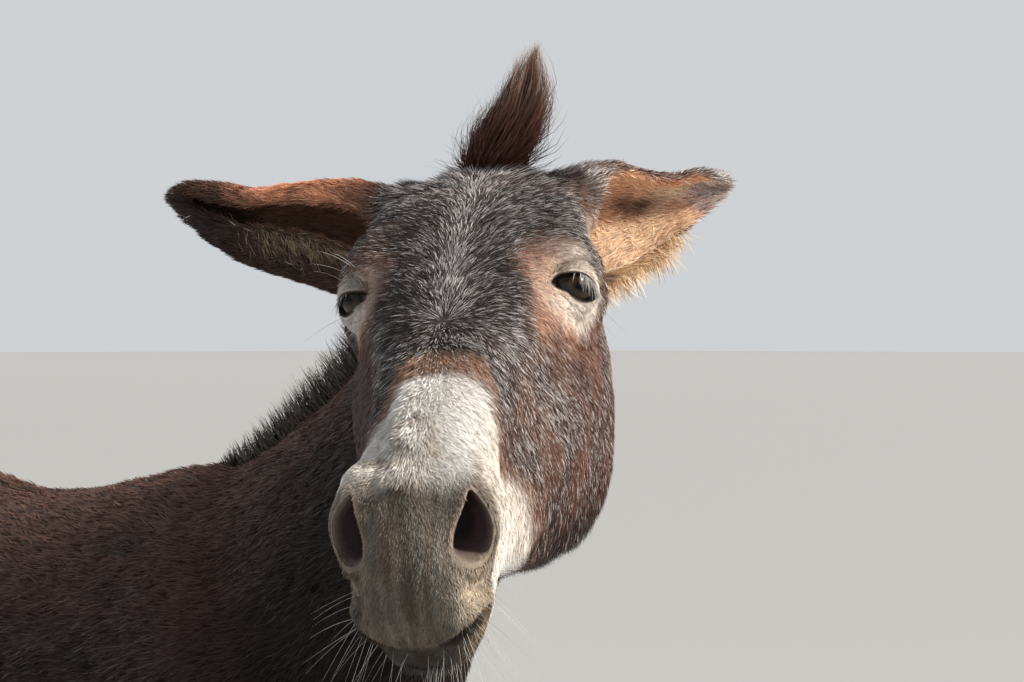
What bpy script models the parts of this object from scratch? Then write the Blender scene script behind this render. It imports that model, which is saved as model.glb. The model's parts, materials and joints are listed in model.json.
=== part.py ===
"""A life-size donkey that stands with its head turned to its right and its ears out sideways.

Metres, +Z up. The donkey stands facing -Y, so its left is +X and its right is -X. The body is modelled
in the donkey's own places: the trunk lies along the plane x = 0 and the hooves stand on z = 0. The
head is modelled in a frame of its own, with the poll at the origin, the muzzle towards -Y and the
forehead up, and is then turned onto the neck. The flesh is made whole, as one smooth surface out to
the tips of the coat, and parted with thin cuts. At the end everything is moved so that the origin
lies on the floor under the middle of the model.
"""

import math

import bmesh
import bpy
import numpy as np
from mathutils import Matrix, Vector

# Driving dimensions, in metres and degrees.
GAP = 0.0005  # between pieces that meet
MANE_GAP = 0.0012  # below the mane, which follows the hollow of the nape
VOXEL = 0.007  # of the remesh that joins the flesh
FIRST_TRIANGLES, FLESH_TRIANGLES = 9400, 4200
HEAD_MIDDLE = Vector((0, -0.26, -0.10))  # in the head's frame
HEAD_REACH = 0.31  # from the middle of the head; within it the flesh keeps its detail
BARREL_FROM = 0.64  # height above which the trunk and neck are eased into each other
TAIL_CUT = 0.603  # how far back the tail begins
CORONET = 0.060  # height of the top of a hoof

# The head: the poll's place, and how the head is turned to the right, sloped down and tilted.
POLL = Vector((-0.125, -0.803, 1.379))
HEAD_TURN, HEAD_SLOPE, HEAD_TILT = -51.5, 30.9, -3.9
EYE = Vector((0.0760, -0.160, -0.0435))  # centre of the left eyeball, in the head's frame
EYE_RADIUS = 0.0205
EYE_FACING = Vector((0.72, -0.58, 0.38))  # the way the left eye looks
LID_RADII = (0.0185, 0.0125, 0.0180)  # of the opening between the lids: along, across and deep
NOSTRIL = Vector((0.035, -0.464, -0.042))  # centre of the left nostril's opening
EAR_ROOT = Vector((0.066, -0.032, -0.066))
EAR_WALL = 0.008
# Each ear: its side, how far its tip lies from its root, and the way its opening faces.
EARS = {
    "left": (1, Vector((0.130, 0.178, -0.062)), Vector((0.80, -0.58, 0.00))),
    "right": (-1, Vector((-0.228, 0.100, 0.018)), Vector((-0.39, -0.905, 0.12))),
}
MANE_HEIGHT, MANE_THICKNESS = 0.050, 0.032

HEAD_FRAME = (
    Matrix.Translation(POLL)
    @ Matrix.Rotation(math.radians(HEAD_TURN), 4, "Z")
    @ Matrix.Rotation(math.radians(HEAD_SLOPE), 4, "X")
    @ Matrix.Rotation(math.radians(HEAD_TILT), 4, "Y")
)

COAT = {"colour": (0.075, 0.045, 0.036), "roughness": 0.75}
HAIR = {"colour": (0.035, 0.020, 0.017), "roughness": 0.65}
HORN = {"colour": (0.060, 0.050, 0.045), "roughness": 0.50}
CORNEA = {"colour": (0.012, 0.008, 0.006), "roughness": 0.08}


# ---------------------------------------------------------------- helpers


def clear_scene():
    for obj in list(bpy.data.objects):
        bpy.data.objects.remove(obj)


def material(name, colour, roughness):
    found = bpy.data.materials.get(name) or bpy.data.materials.new(name)
    found.use_nodes = True
    shader = found.node_tree.nodes["Principled BSDF"]
    shader.inputs["Base Color"].default_value = (*colour, 1.0)
    shader.inputs["Roughness"].default_value = roughness
    return found


def add_object(name, mesh, finish=None):
    obj = bpy.data.objects.new(name, mesh)
    bpy.context.scene.collection.objects.link(obj)
    if finish:
        mesh.materials.clear()
        mesh.materials.append(finish)
    return obj


def evaluated_copy(obj, name):
    """A new mesh that holds obj with its modifiers applied, in world space."""
    graph = bpy.context.evaluated_depsgraph_get()
    mesh = bpy.data.meshes.new_from_object(obj.evaluated_get(graph))
    mesh.transform(obj.matrix_world)
    mesh.name = name
    return mesh


def apply_modifiers(obj):
    mesh = evaluated_copy(obj, obj.name)
    obj.modifiers.clear()
    obj.matrix_world = Matrix.Identity(4)
    obj.data = mesh
    return obj


def section(half_width, top, bottom, widest, top_power=2.0, bottom_power=2.0, points=20):
    """A closed outline, as (across, up) pairs, counter-clockwise from +across.

    It is half_width wide on each side at height widest, and reaches up to top and down to bottom. A
    power of 2 is an ellipse, a larger one is squarer and a smaller one is more pointed.
    """
    outline = []
    for i in range(points):
        angle = 2 * math.pi * i / points
        c, s = math.cos(angle), math.sin(angle)
        power = top_power if s > 0 else bottom_power
        reach = (top - widest) if s > 0 else (widest - bottom)
        across = half_width * math.copysign(abs(c) ** (2 / power), c)
        outline.append((across, widest + reach * math.copysign(abs(s) ** (2 / power), s)))
    return outline


def loft(name, rings, smooth_levels=2):
    """A closed skin through rings of equally many points, rounded by subdivision."""
    bm = bmesh.new()
    made = [[bm.verts.new(point) for point in ring] for ring in rings]
    for lower, upper in zip(made, made[1:]):
        count = len(lower)
        for i in range(count):
            bm.faces.new((lower[i], lower[(i + 1) % count], upper[(i + 1) % count], upper[i]))
    bm.faces.new(list(reversed(made[0])))
    bm.faces.new(made[-1])
    bmesh.ops.recalc_face_normals(bm, faces=bm.faces)
    mesh = bpy.data.meshes.new(name)
    bm.to_mesh(mesh)
    bm.free()
    obj = add_object(name, mesh)
    if smooth_levels:
        rounding = obj.modifiers.new("Rounding", "SUBSURF")
        rounding.levels = rounding.render_levels = smooth_levels
    return obj


def ellipsoid(name, centre, radii, turn=None, frame=None):
    """A ball of three radii, turned by an Euler triple in degrees, placed in a frame."""
    bm = bmesh.new()
    bmesh.ops.create_uvsphere(bm, u_segments=16, v_segments=9, radius=1.0)
    mesh = bpy.data.meshes.new(name)
    bm.to_mesh(mesh)
    bm.free()
    place = Matrix.Translation(centre)
    if turn:
        for angle, axis in zip(turn, "XYZ"):
            place = place @ Matrix.Rotation(math.radians(angle), 4, axis)
    place = place @ Matrix.Diagonal((*radii, 1.0))
    mesh.transform((frame or Matrix.Identity(4)) @ place)
    return add_object(name, mesh)


def mirrored(point, side):
    """A point given for the donkey's left, on the side asked for: 1 left, -1 right."""
    return Vector((point[0] * side, point[1], point[2]))


def bezier(p0, p1, p2, p3, t):
    s = 1 - t
    return p0 * s**3 + p1 * (3 * s * s * t) + p2 * (3 * s * t * t) + p3 * t**3


def box_cutter(name, size, place):
    bm = bmesh.new()
    bmesh.ops.create_cube(bm, size=1.0)
    mesh = bpy.data.meshes.new(name)
    bm.to_mesh(mesh)
    bm.free()
    mesh.transform(place @ Matrix.Diagonal((*size, 1.0)))
    return as_cutter(add_object(name, mesh))


def as_cutter(obj):
    obj.hide_render = True
    obj.display_type = "WIRE"
    return obj


def boolean(obj, other, operation="DIFFERENCE"):
    """Applies one exact Boolean to obj at once, so that the next one starts from its result."""
    cut = obj.modifiers.new(operation.title(), "BOOLEAN")
    cut.operation = operation
    cut.solver = "EXACT"
    cut.object = other
    return apply_modifiers(obj)


def grown_copy(obj, distance):
    """A cutter a little larger all round than obj, so that what it cuts keeps its distance."""
    cutter = as_cutter(add_object(obj.name + "_cutter", evaluated_copy(obj, obj.name + "_cutter")))
    swell = cutter.modifiers.new("Swell", "DISPLACE")
    swell.strength = distance
    swell.mid_level = 0.0
    return apply_modifiers(cutter)


# ---------------------------------------------------------------- trunk

# Stations from the breast to the buttocks: y, top, bottom, half width, height of the widest place, and
# how square the back and the belly are.
TRUNK = (
    (-0.550, 0.880, 0.735, 0.055, 0.80, 2.0, 2.0),
    (-0.518, 0.960, 0.658, 0.124, 0.78, 2.0, 2.2),
    (-0.450, 1.045, 0.612, 0.165, 0.79, 1.9, 2.3),
    (-0.370, 1.108, 0.598, 0.174, 0.80, 1.7, 2.3),
    (-0.290, 1.118, 0.592, 0.178, 0.81, 1.6, 2.3),
    (-0.200, 1.098, 0.586, 0.190, 0.80, 1.8, 2.2),
    (-0.100, 1.075, 0.574, 0.210, 0.79, 2.0, 2.2),
    (0.000, 1.064, 0.568, 0.224, 0.79, 2.1, 2.2),
    (0.100, 1.062, 0.576, 0.226, 0.80, 2.1, 2.2),
    (0.200, 1.076, 0.604, 0.213, 0.83, 2.0, 2.2),
    (0.290, 1.099, 0.652, 0.200, 0.86, 1.9, 2.2),
    (0.370, 1.110, 0.700, 0.192, 0.89, 1.9, 2.2),
    (0.450, 1.096, 0.740, 0.178, 0.90, 1.9, 2.2),
    (0.520, 1.056, 0.775, 0.150, 0.90, 1.9, 2.2),
    (0.570, 1.000, 0.820, 0.100, 0.90, 2.0, 2.1),
    (0.590, 0.955, 0.855, 0.060, 0.90, 2.0, 2.0),
)


def trunk():
    rings = []
    for y, top, bottom, half_width, widest, back, belly in TRUNK:
        outline = section(half_width, top, bottom, widest, back, belly)
        rings.append([Vector((x, y, z)) for x, z in outline])
    return [loft("trunk_mass", rings)]


# ---------------------------------------------------------------- legs

# Stations down each left leg: height, x and y of the middle, half width across and half depth along.
FORELEG = (
    (0.990, 0.075, -0.300, 0.040, 0.060),
    (0.920, 0.098, -0.335, 0.052, 0.090),
    (0.840, 0.110, -0.372, 0.056, 0.108),
    (0.770, 0.113, -0.386, 0.056, 0.102),
    (0.700, 0.112, -0.378, 0.055, 0.095),
    (0.640, 0.108, -0.362, 0.050, 0.080),
    (0.570, 0.102, -0.362, 0.044, 0.060),
    (0.490, 0.098, -0.368, 0.037, 0.047),
    (0.420, 0.096, -0.372, 0.031, 0.038),
    (0.375, 0.096, -0.375, 0.033, 0.039),
    (0.335, 0.096, -0.377, 0.035, 0.041),
    (0.300, 0.096, -0.373, 0.029, 0.036),
    (0.255, 0.096, -0.372, 0.024, 0.032),
    (0.200, 0.096, -0.372, 0.023, 0.031),
    (0.165, 0.096, -0.372, 0.026, 0.034),
    (0.140, 0.096, -0.374, 0.029, 0.037),
    (0.112, 0.097, -0.387, 0.025, 0.031),
    (0.085, 0.098, -0.400, 0.027, 0.033),
    (0.060, 0.099, -0.410, 0.033, 0.040),
    (0.040, 0.099, -0.416, 0.035, 0.043),
)
HINDLEG = (
    (1.060, 0.070, 0.340, 0.040, 0.075),
    (0.990, 0.092, 0.375, 0.062, 0.125),
    (0.920, 0.106, 0.400, 0.078, 0.158),
    (0.850, 0.115, 0.415, 0.087, 0.172),
    (0.770, 0.122, 0.410, 0.087, 0.165),
    (0.700, 0.126, 0.392, 0.078, 0.145),
    (0.630, 0.122, 0.385, 0.062, 0.113),
    (0.560, 0.115, 0.410, 0.049, 0.083),
    (0.500, 0.111, 0.445, 0.040, 0.063),
    (0.450, 0.108, 0.478, 0.034, 0.055),
    (0.410, 0.106, 0.495, 0.036, 0.052),
    (0.370, 0.105, 0.500, 0.036, 0.046),
    (0.325, 0.104, 0.498, 0.029, 0.038),
    (0.260, 0.103, 0.495, 0.024, 0.033),
    (0.200, 0.102, 0.493, 0.024, 0.033),
    (0.165, 0.102, 0.491, 0.027, 0.036),
    (0.140, 0.102, 0.487, 0.030, 0.038),
    (0.112, 0.102, 0.474, 0.026, 0.032),
    (0.085, 0.102, 0.462, 0.027, 0.034),
    (0.060, 0.102, 0.453, 0.033, 0.040),
    (0.040, 0.102, 0.448, 0.035, 0.043),
)
LEGS = {"front": FORELEG, "hind": HINDLEG}
HOOF_FLARE = 1.20  # how much wider the sole is than the coronet
HOOF_SLOPE = 0.014  # how far forward the sole lies of the coronet


def leg(end, side):
    rings = []
    for z, x, y, half_width, half_depth in LEGS[end]:
        outline = section(half_width, half_depth, -half_depth, 0.0, 2.0, 2.2)
        rings.append([Vector((side * (x + across), y - along, z)) for across, along in outline])
    return loft(f"leg_{end}_mass", rings)


def hoof_at(end):
    """The middle of a left hoof's top, and its half width and half depth there."""
    _, x, y, half_width, half_depth = next(row for row in LEGS[end] if row[0] == CORONET)
    return Vector((x, y, CORONET)), half_width, half_depth


def hoof(end, side):
    """A hoof: a slightly flared cone, longer than wide, with a flat sole and a blunt rim."""
    top, half_width, half_depth = hoof_at(end)
    levels = ((CORONET - GAP, 0.0), (0.045, 0.25), (0.004, 0.93), (0.0, 0.90))
    rings = []
    for z, share in levels:
        grown = 1 + (HOOF_FLARE - 1) * share
        outline = section(half_width * grown, half_depth * grown, -half_depth * grown, 0, 2, 2.6)
        forward = HOOF_SLOPE * share
        rings.append(
            [Vector((side * (top.x + a), top.y - forward - b, z)) for a, b in outline]
        )
    return loft(f"hoof_{end}", rings, smooth_levels=0)


# ---------------------------------------------------------------- neck

# The crest runs from the withers to the poll and the throat from the breast to the jaw. The upper ends
# are in the head's frame.
CREST_START, CREST_PULL = Vector((0.0, -0.250, 1.085)), Vector((0.0, -0.190, 0.025))
CREST_END, CREST_LEAD = Vector((0.0, 0.012, -0.022)), Vector((-0.020, 0.130, -0.100))
THROAT_START, THROAT_PULL = Vector((0.0, -0.530, 0.720)), Vector((0.0, -0.110, 0.170))
THROAT_END, THROAT_LEAD = Vector((0.0, -0.050, -0.185)), Vector((0.010, 0.110, -0.140))
# Along the neck: share of the way, half width, and how high the widest place lies from throat to crest.
NECK = (
    (0.00, 0.125, 0.45),
    (0.15, 0.110, 0.45),
    (0.32, 0.090, 0.45),
    (0.50, 0.078, 0.46),
    (0.68, 0.072, 0.48),
    (0.85, 0.070, 0.52),
    (1.00, 0.070, 0.58),
)


def crest_and_throat(share):
    """The highest and the lowest point of the neck at a share of the way to the head."""
    crest_end, throat_end = HEAD_FRAME @ CREST_END, HEAD_FRAME @ THROAT_END
    crest_lead = HEAD_FRAME @ (CREST_END + CREST_LEAD)
    throat_lead = HEAD_FRAME @ (THROAT_END + THROAT_LEAD)
    crest = bezier(CREST_START, CREST_START + CREST_PULL, crest_lead, crest_end, share)
    throat = bezier(THROAT_START, THROAT_START + THROAT_PULL, throat_lead, throat_end, share)
    return crest, throat


def neck_frame(share):
    """Crest, throat, and the unit vectors across and up at a share of the way."""
    crest, throat = crest_and_throat(share)
    before, after = crest_and_throat(max(share - 0.02, 0)), crest_and_throat(min(share + 0.02, 1))
    along = (after[0] + after[1] - before[0] - before[1]).normalized()
    up = (crest - throat).normalized()
    return crest, throat, up.cross(along).normalized(), up


def neck():
    rings = []
    for share, half_width, widest in NECK:
        crest, throat, across, up = neck_frame(share)
        depth = (crest - throat).length
        outline = section(half_width, depth, 0.0, depth * widest, 1.7, 2.1)
        rings.append([throat - across * x + up * z for x, z in outline])
    return [loft("neck_mass", rings)]


def mane():
    """The upright brush of the mane, from between the ears to the withers."""
    rings = []
    steps = 17
    for i in range(steps):
        share = 0.06 + 0.92 * i / (steps - 1)
        crest, _, across, up = neck_frame(share)
        end = math.sin(math.pi * min(1, max(0, (share - 0.06) / 0.92)))
        height = MANE_HEIGHT * (0.10 + 0.90 * end**0.6)
        outline = section(MANE_THICKNESS / 2, height, -0.030, -0.010, 1.8, 2.0, points=12)
        rings.append([crest - across * x + up * z for x, z in outline])
    return loft("mane", rings, smooth_levels=0)


# ---------------------------------------------------------------- head, in its own frame

# From the poll to the lips: y, top, bottom, half width, height of the widest place, powers.
SKULL = (
    (0.035, -0.050, -0.130, 0.045, -0.085, 2.0, 2.0),
    (0.000, -0.016, -0.150, 0.070, -0.078, 2.3, 2.0),
    (-0.045, 0.001, -0.165, 0.084, -0.070, 2.5, 2.0),
    (-0.095, 0.009, -0.170, 0.092, -0.060, 2.6, 2.0),
    (-0.145, 0.010, -0.170, 0.095, -0.055, 2.7, 2.0),
    (-0.195, 0.006, -0.165, 0.080, -0.060, 2.4, 2.0),
    (-0.245, 0.001, -0.150, 0.064, -0.062, 2.3, 2.0),
    (-0.295, -0.002, -0.135, 0.055, -0.060, 2.3, 2.0),
    (-0.345, -0.003, -0.120, 0.048, -0.058, 2.2, 2.0),
    (-0.390, -0.004, -0.110, 0.047, -0.058, 2.2, 2.0),
    (-0.430, -0.008, -0.108, 0.052, -0.062, 2.2, 2.0),
    (-0.465, -0.018, -0.110, 0.052, -0.068, 2.1, 2.0),
    (-0.496, -0.038, -0.112, 0.047, -0.078, 2.0, 2.0),
    (-0.514, -0.060, -0.108, 0.029, -0.086, 2.0, 2.0),
)
JAW = (
    (0.005, -0.070, -0.165, 0.050, -0.115, 2.0, 2.0),
    (-0.035, -0.050, -0.212, 0.078, -0.125, 2.0, 2.3),
    (-0.085, -0.035, -0.252, 0.098, -0.135, 2.2, 3.0),
    (-0.145, -0.030, -0.268, 0.104, -0.135, 2.3, 3.2),
    (-0.205, -0.035, -0.260, 0.100, -0.130, 2.2, 3.0),
    (-0.260, -0.045, -0.230, 0.084, -0.120, 2.1, 2.7),
    (-0.310, -0.050, -0.194, 0.064, -0.110, 2.0, 2.3),
    (-0.360, -0.055, -0.160, 0.047, -0.102, 2.0, 2.0),
    (-0.405, -0.060, -0.152, 0.042, -0.104, 2.0, 2.0),
    (-0.445, -0.070, -0.158, 0.047, -0.114, 2.0, 2.0),
    (-0.478, -0.085, -0.160, 0.043, -0.120, 2.0, 2.0),
    (-0.501, -0.106, -0.148, 0.029, -0.126, 2.0, 2.0),
)
# Rounded masses on each side: name, centre, radii and turn, all for the left.
HEAD_MASSES = (
    ("orbit", (0.070, -0.146, -0.042), (0.031, 0.040, 0.034), (0, 0, -20)),
    ("brow", (0.070, -0.138, -0.016), (0.024, 0.038, 0.017), (0, 24, -14)),
    ("arch", (0.072, -0.085, -0.064), (0.024, 0.060, 0.024), (0, 0, 14)),
    ("temple", (0.060, -0.090, -0.034), (0.030, 0.064, 0.032), (0, 0, 8)),
    ("facial_crest", (0.062, -0.235, -0.080), (0.018, 0.075, 0.018), (0, 0, -12)),
    ("wing", (0.038, -0.436, -0.050), (0.019, 0.042, 0.038), (0, 0, 0)),
    ("ear_root", (0.062, -0.024, -0.050), (0.030, 0.037, 0.033), (0, 0, 0)),
    ("upper_lip", (0.022, -0.482, -0.086), (0.024, 0.034, 0.028), (0, 0, 0)),
)


def head():
    masses = []
    for name, stations in (("skull", SKULL), ("jaw", JAW)):
        rings = []
        for y, top, bottom, half_width, widest, upper, lower in stations:
            outline = section(half_width, top, bottom, widest, upper, lower)
            rings.append([HEAD_FRAME @ Vector((x, y, z)) for x, z in outline])
        masses.append(loft(name + "_mass", rings))
    for name, centre, radii, turn in HEAD_MASSES:
        for side in (1, -1):
            turned = (turn[0], turn[1] * side, turn[2] * side)
            place = mirrored(centre, side)
            masses.append(ellipsoid(name + "_mass", place, radii, turned, HEAD_FRAME))
    return masses


# ---------------------------------------------------------------- ears, eyes, tail and tufts

# Along an ear: share of its length, top and bottom edge from its axis, depth, and how far round the
# wall reaches below and above, in degrees from the ear's back.
EAR_STATIONS = {
    "left": (
        (-0.10, 0.034, -0.034, 0.028, -172, 172),
        (0.00, 0.050, -0.044, 0.036, -146, 142),
        (0.12, 0.056, -0.047, 0.040, -128, 120),
        (0.24, 0.054, -0.047, 0.040, -114, 110),
        (0.38, 0.044, -0.044, 0.036, -108, 103),
        (0.52, 0.034, -0.040, 0.031, -104, 101),
        (0.66, 0.028, -0.029, 0.024, -102, 108),
        (0.78, 0.029, -0.019, 0.019, -102, 128),
        (0.88, 0.026, -0.007, 0.013, -105, 148),
        (0.94, 0.018, 0.002, 0.008, -110, 150),
    ),
    "right": (
        (-0.10, 0.034, -0.034, 0.028, -172, 172),
        (0.00, 0.044, -0.046, 0.036, -178, 150),
        (0.12, 0.047, -0.056, 0.040, -188, 136),
        (0.24, 0.045, -0.059, 0.040, -195, 128),
        (0.38, 0.037, -0.058, 0.038, -199, 126),
        (0.52, 0.027, -0.057, 0.034, -201, 126),
        (0.66, 0.016, -0.053, 0.029, -204, 130),
        (0.79, 0.016, -0.042, 0.023, -204, 134),
        (0.90, 0.014, -0.025, 0.015, -200, 136),
        (0.975, 0.004, -0.011, 0.008, -190, 136),
    ),
}
EAR_SWEEP = 0.008  # how far the middle of an ear bows backwards
EAR_POINTS = 11  # round the outside of a wall, and as many round its inside


def ear(label):
    """A cupped leaf: a wall of even thickness, nearly closed at the root, open along one side."""
    side, reach, facing = EARS[label]
    root = mirrored(EAR_ROOT, side)
    along = reach.normalized()
    facing = (facing - along * facing.dot(along)).normalized()
    upwards = along.cross(facing) * -side
    rings = []
    for share, top, bottom, depth, low, high in EAR_STATIONS[label]:
        bow = math.sin(math.pi * max(share, 0))
        middle = root + reach * share - facing * EAR_SWEEP * bow + upwards * (top + bottom) / 2
        half_width = (top - bottom) / 2
        wall = min(EAR_WALL, 0.72 * depth, 0.72 * half_width)
        outer, inner = [], []
        for i in range(EAR_POINTS):
            angle = math.radians(low + (high - low) * i / (EAR_POINTS - 1))
            turn = upwards * math.sin(angle), facing * -math.cos(angle)
            outer.append(middle + turn[0] * half_width + turn[1] * depth)
            inner.append(middle + turn[0] * (half_width - wall) + turn[1] * (depth - wall))
        rings.append([HEAD_FRAME @ point for point in outer + inner[::-1]])
    return loft("ear_" + label, rings, smooth_levels=0)


def eyeball(label, side):
    return ellipsoid("eye_" + label, mirrored(EYE, side), (EYE_RADIUS,) * 3, None, HEAD_FRAME)


def lid_opening(side):
    """An almond pressed into the orbit, which lets the eyeball show."""
    facing = EYE_FACING.normalized()
    forward = Vector((0, -1, 0))
    forward = (forward - facing * forward.dot(facing)).normalized()
    turned = Matrix((forward, facing.cross(forward), facing)).transposed().to_4x4()
    place = Matrix.Translation(EYE + facing * 0.020) @ turned
    place = place @ Matrix.Diagonal((*LID_RADII, 1.0))
    opening = ellipsoid("lids", Vector(), (1.0, 1.0, 1.0))
    opening.data.transform(HEAD_FRAME @ Matrix.Diagonal((side, 1, 1, 1)) @ place)
    if side < 0:
        opening.data.flip_normals()
    return opening


def tube(name, points, radii, flat=1.0, count=12, levels=0):
    """A closed skin round a row of points, with a radius for each and an elliptical section."""
    rings = []
    for i, point in enumerate(points):
        along = (points[min(i + 1, len(points) - 1)] - points[max(i - 1, 0)]).normalized()
        side = along.cross(Vector((0, 1, 0.2))).normalized()
        other = along.cross(side)
        ring = []
        for k in range(count):
            angle = 2 * math.pi * k / count
            ring.append(
                point + side * math.cos(angle) * radii[i] + other * math.sin(angle) * radii[i] * flat
            )
        rings.append(ring)
    return loft(name, rings, smooth_levels=levels)


# The dock hangs from the root of the tail close behind the buttocks; its tuft reaches the hocks.
DOCK = ((0.50, 1.045), (0.566, 1.022), (0.618, 0.968), (0.644, 0.892), (0.650, 0.810), (0.646, 0.730))
DOCK_RADII = (0.040, 0.038, 0.032, 0.027, 0.024, 0.018)
TUFT = ((0.649, 0.800), (0.648, 0.730), (0.644, 0.650), (0.638, 0.570), (0.630, 0.490), (0.624, 0.430))
TUFT_RADII = (0.027, 0.034, 0.038, 0.036, 0.025, 0.008)


def tail():
    points = [Vector((0, y, z)) for y, z in DOCK]
    return [tube("tail_mass", points, DOCK_RADII, levels=2)]


def tail_tuft():
    points = [Vector((0, y, z)) for y, z in TUFT]
    return tube("tail_tuft", points, TUFT_RADII)


# The forelock stands up between the ears and leans back and to the left. In the head's frame.
FORELOCK = (
    ((-0.002, 0.008, -0.040), 0.028, 0.032),
    ((0.010, 0.008, -0.006), 0.029, 0.030),
    ((0.026, 0.016, 0.014), 0.027, 0.025),
    ((0.037, 0.030, 0.034), 0.020, 0.019),
    ((0.042, 0.044, 0.052), 0.013, 0.013),
    ((0.044, 0.054, 0.064), 0.005, 0.005),
)


def forelock():
    rings = []
    for middle, half_width, half_depth in FORELOCK:
        outline = section(half_width, half_depth, -half_depth, 0.0, points=14)
        rings.append([HEAD_FRAME @ (Vector(middle) + Vector((a, b, 0))) for a, b in outline])
    return loft("forelock", rings, smooth_levels=0)


# ---------------------------------------------------------------- flesh as one piece


def join_masses(masses):
    """One closed skin round all the masses: a voxel remesh, rounded where they meet."""
    bm = bmesh.new()
    for mass in masses:
        bm.from_mesh(evaluated_copy(mass, "mass"))
        bpy.data.objects.remove(mass)
    mesh = bpy.data.meshes.new("flesh")
    bm.to_mesh(mesh)
    bm.free()
    obj = add_object("flesh", mesh)
    remesh = obj.modifiers.new("Remesh", "REMESH")
    remesh.mode = "VOXEL"
    remesh.voxel_size = VOXEL
    smooth = obj.modifiers.new("Smooth", "SMOOTH")
    smooth.factor = 0.5
    smooth.iterations = 12
    apply_modifiers(obj)
    barrel = obj.vertex_groups.new(name="barrel")
    for vertex in obj.data.vertices:
        if vertex.co.z > BARREL_FROM and vertex.co.y < TAIL_CUT and not near_head(vertex.co):
            barrel.add([vertex.index], min(1.0, (vertex.co.z - BARREL_FROM) / 0.08), "REPLACE")
    ease = obj.modifiers.new("Ease", "SMOOTH")
    ease.factor = 0.5
    ease.iterations = 60
    ease.vertex_group = "barrel"
    apply_modifiers(obj)
    obj.vertex_groups.clear()
    return obj


def near_head(point):
    return (point - HEAD_FRAME @ HEAD_MIDDLE).length < HEAD_REACH


def triangle_count(obj):
    return sum(len(face.vertices) - 2 for face in obj.data.polygons)


def thin_out(obj, triangles):
    """Fewer triangles, first everywhere and then only away from the head, which keeps its detail."""
    everywhere = obj.modifiers.new("Decimate", "DECIMATE")
    everywhere.ratio = FIRST_TRIANGLES / triangle_count(obj)
    apply_modifiers(obj)
    body = obj.vertex_groups.new(name="body")
    for vertex in obj.data.vertices:
        body.add([vertex.index], 0.0 if near_head(vertex.co) else 1.0, "REPLACE")
    thin = obj.modifiers.new("Decimate", "DECIMATE")
    thin.ratio = triangles / triangle_count(obj)
    thin.vertex_group = "body"
    thin.vertex_group_factor = 1.0
    apply_modifiers(obj)
    obj.vertex_groups.clear()
    return obj


def shaped_flesh():
    """The whole body and head, with the eye sockets and nostrils pressed in."""
    masses = trunk() + neck() + head() + tail()
    for end in LEGS:
        masses += [leg(end, 1), leg(end, -1)]
    body = thin_out(join_masses(masses), FLESH_TRIANGLES)
    for side in (1, -1):
        turn = (0, 12 * side, 24 * side)
        pit = ellipsoid("pit", mirrored(NOSTRIL, side), (0.014, 0.022, 0.021), turn, HEAD_FRAME)
        subtract(body, pit, remove=True)
        subtract(body, lid_opening(side), remove=True)
    return body


# ---------------------------------------------------------------- parting


def subtract(obj, cutter, remove=False):
    boolean(obj, as_cutter(cutter))
    if remove:
        bpy.data.objects.remove(cutter)
    return obj


def subtract_grown(obj, other, gap=GAP):
    """Cuts obj back so that it keeps a gap of air from other."""
    return subtract(obj, grown_copy(other, gap), remove=True)


def islands(obj):
    """The separate closed shells of obj, as lists of face indices."""
    bm = bmesh.new()
    bm.from_mesh(obj.data)
    bm.faces.ensure_lookup_table()
    seen, found = set(), []
    for start in bm.faces:
        if start.index in seen:
            continue
        seen.add(start.index)
        stack, group = [start], []
        while stack:
            face = stack.pop()
            group.append(face.index)
            for edge in face.edges:
                for other in edge.link_faces:
                    if other.index not in seen:
                        seen.add(other.index)
                        stack.append(other)
        found.append(group)
    bm.free()
    return found


def shell_object(name, obj, faces):
    """A new object with only these faces of obj."""
    keep = set(faces)
    bm = bmesh.new()
    bm.from_mesh(obj.data)
    bm.faces.ensure_lookup_table()
    rest = [face for face in bm.faces if face.index not in keep]
    bmesh.ops.delete(bm, geom=rest, context="FACES")
    mesh = bpy.data.meshes.new(name)
    bm.to_mesh(mesh)
    bm.free()
    return add_object(name, mesh)


def only_largest(obj):
    """Drops the crumbs that a cut can leave beside the main shell."""
    found = islands(obj)
    if len(found) > 1:
        kept = shell_object(obj.name + "_kept", obj, max(found, key=len))
        obj.data = kept.data
        bpy.data.objects.remove(kept)
    return obj


def slab(centre, normal, across, length, breadth):
    """A thin box through centre, square to normal, as long as given and as broad along across."""
    normal = normal.normalized()
    across = (across - normal * across.dot(normal)).normalized()
    turned = Matrix((across, normal.cross(across), normal)).transposed().to_4x4()
    return box_cutter("slab", (breadth, length, GAP), Matrix.Translation(centre) @ turned)


def parting_slabs():
    """The cuts between head, neck, trunk, tail and legs."""
    turned = HEAD_FRAME.to_3x3()
    x_axis = Vector((1, 0, 0))
    yield slab(HEAD_FRAME @ NAPE_CUT, turned @ NAPE_NORMAL, turned @ x_axis, 0.42, 0.42)
    yield slab(Vector((0, -0.412, 0.928)), Vector((0, -0.82, 0.572)), x_axis, 0.62, 0.60)
    yield slab(Vector((0, TAIL_CUT, 0.96)), Vector((0, 1, 0)), x_axis, 0.24, 0.12)
    for side in (1, -1):
        yield slab(Vector((side * 0.14, -0.35, 0.580)), Vector((0, 0, 1)), x_axis, 0.42, 0.22)
        yield slab(Vector((side * 0.16, 0.42, 0.668)), Vector((0, -0.20, 0.98)), x_axis, 0.50, 0.30)


# The plane between head and neck, in the head's frame.
NAPE_CUT = Vector((-0.020, 0.050, -0.110))
NAPE_NORMAL = Vector((-0.38, 0.82, -0.43))
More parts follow.
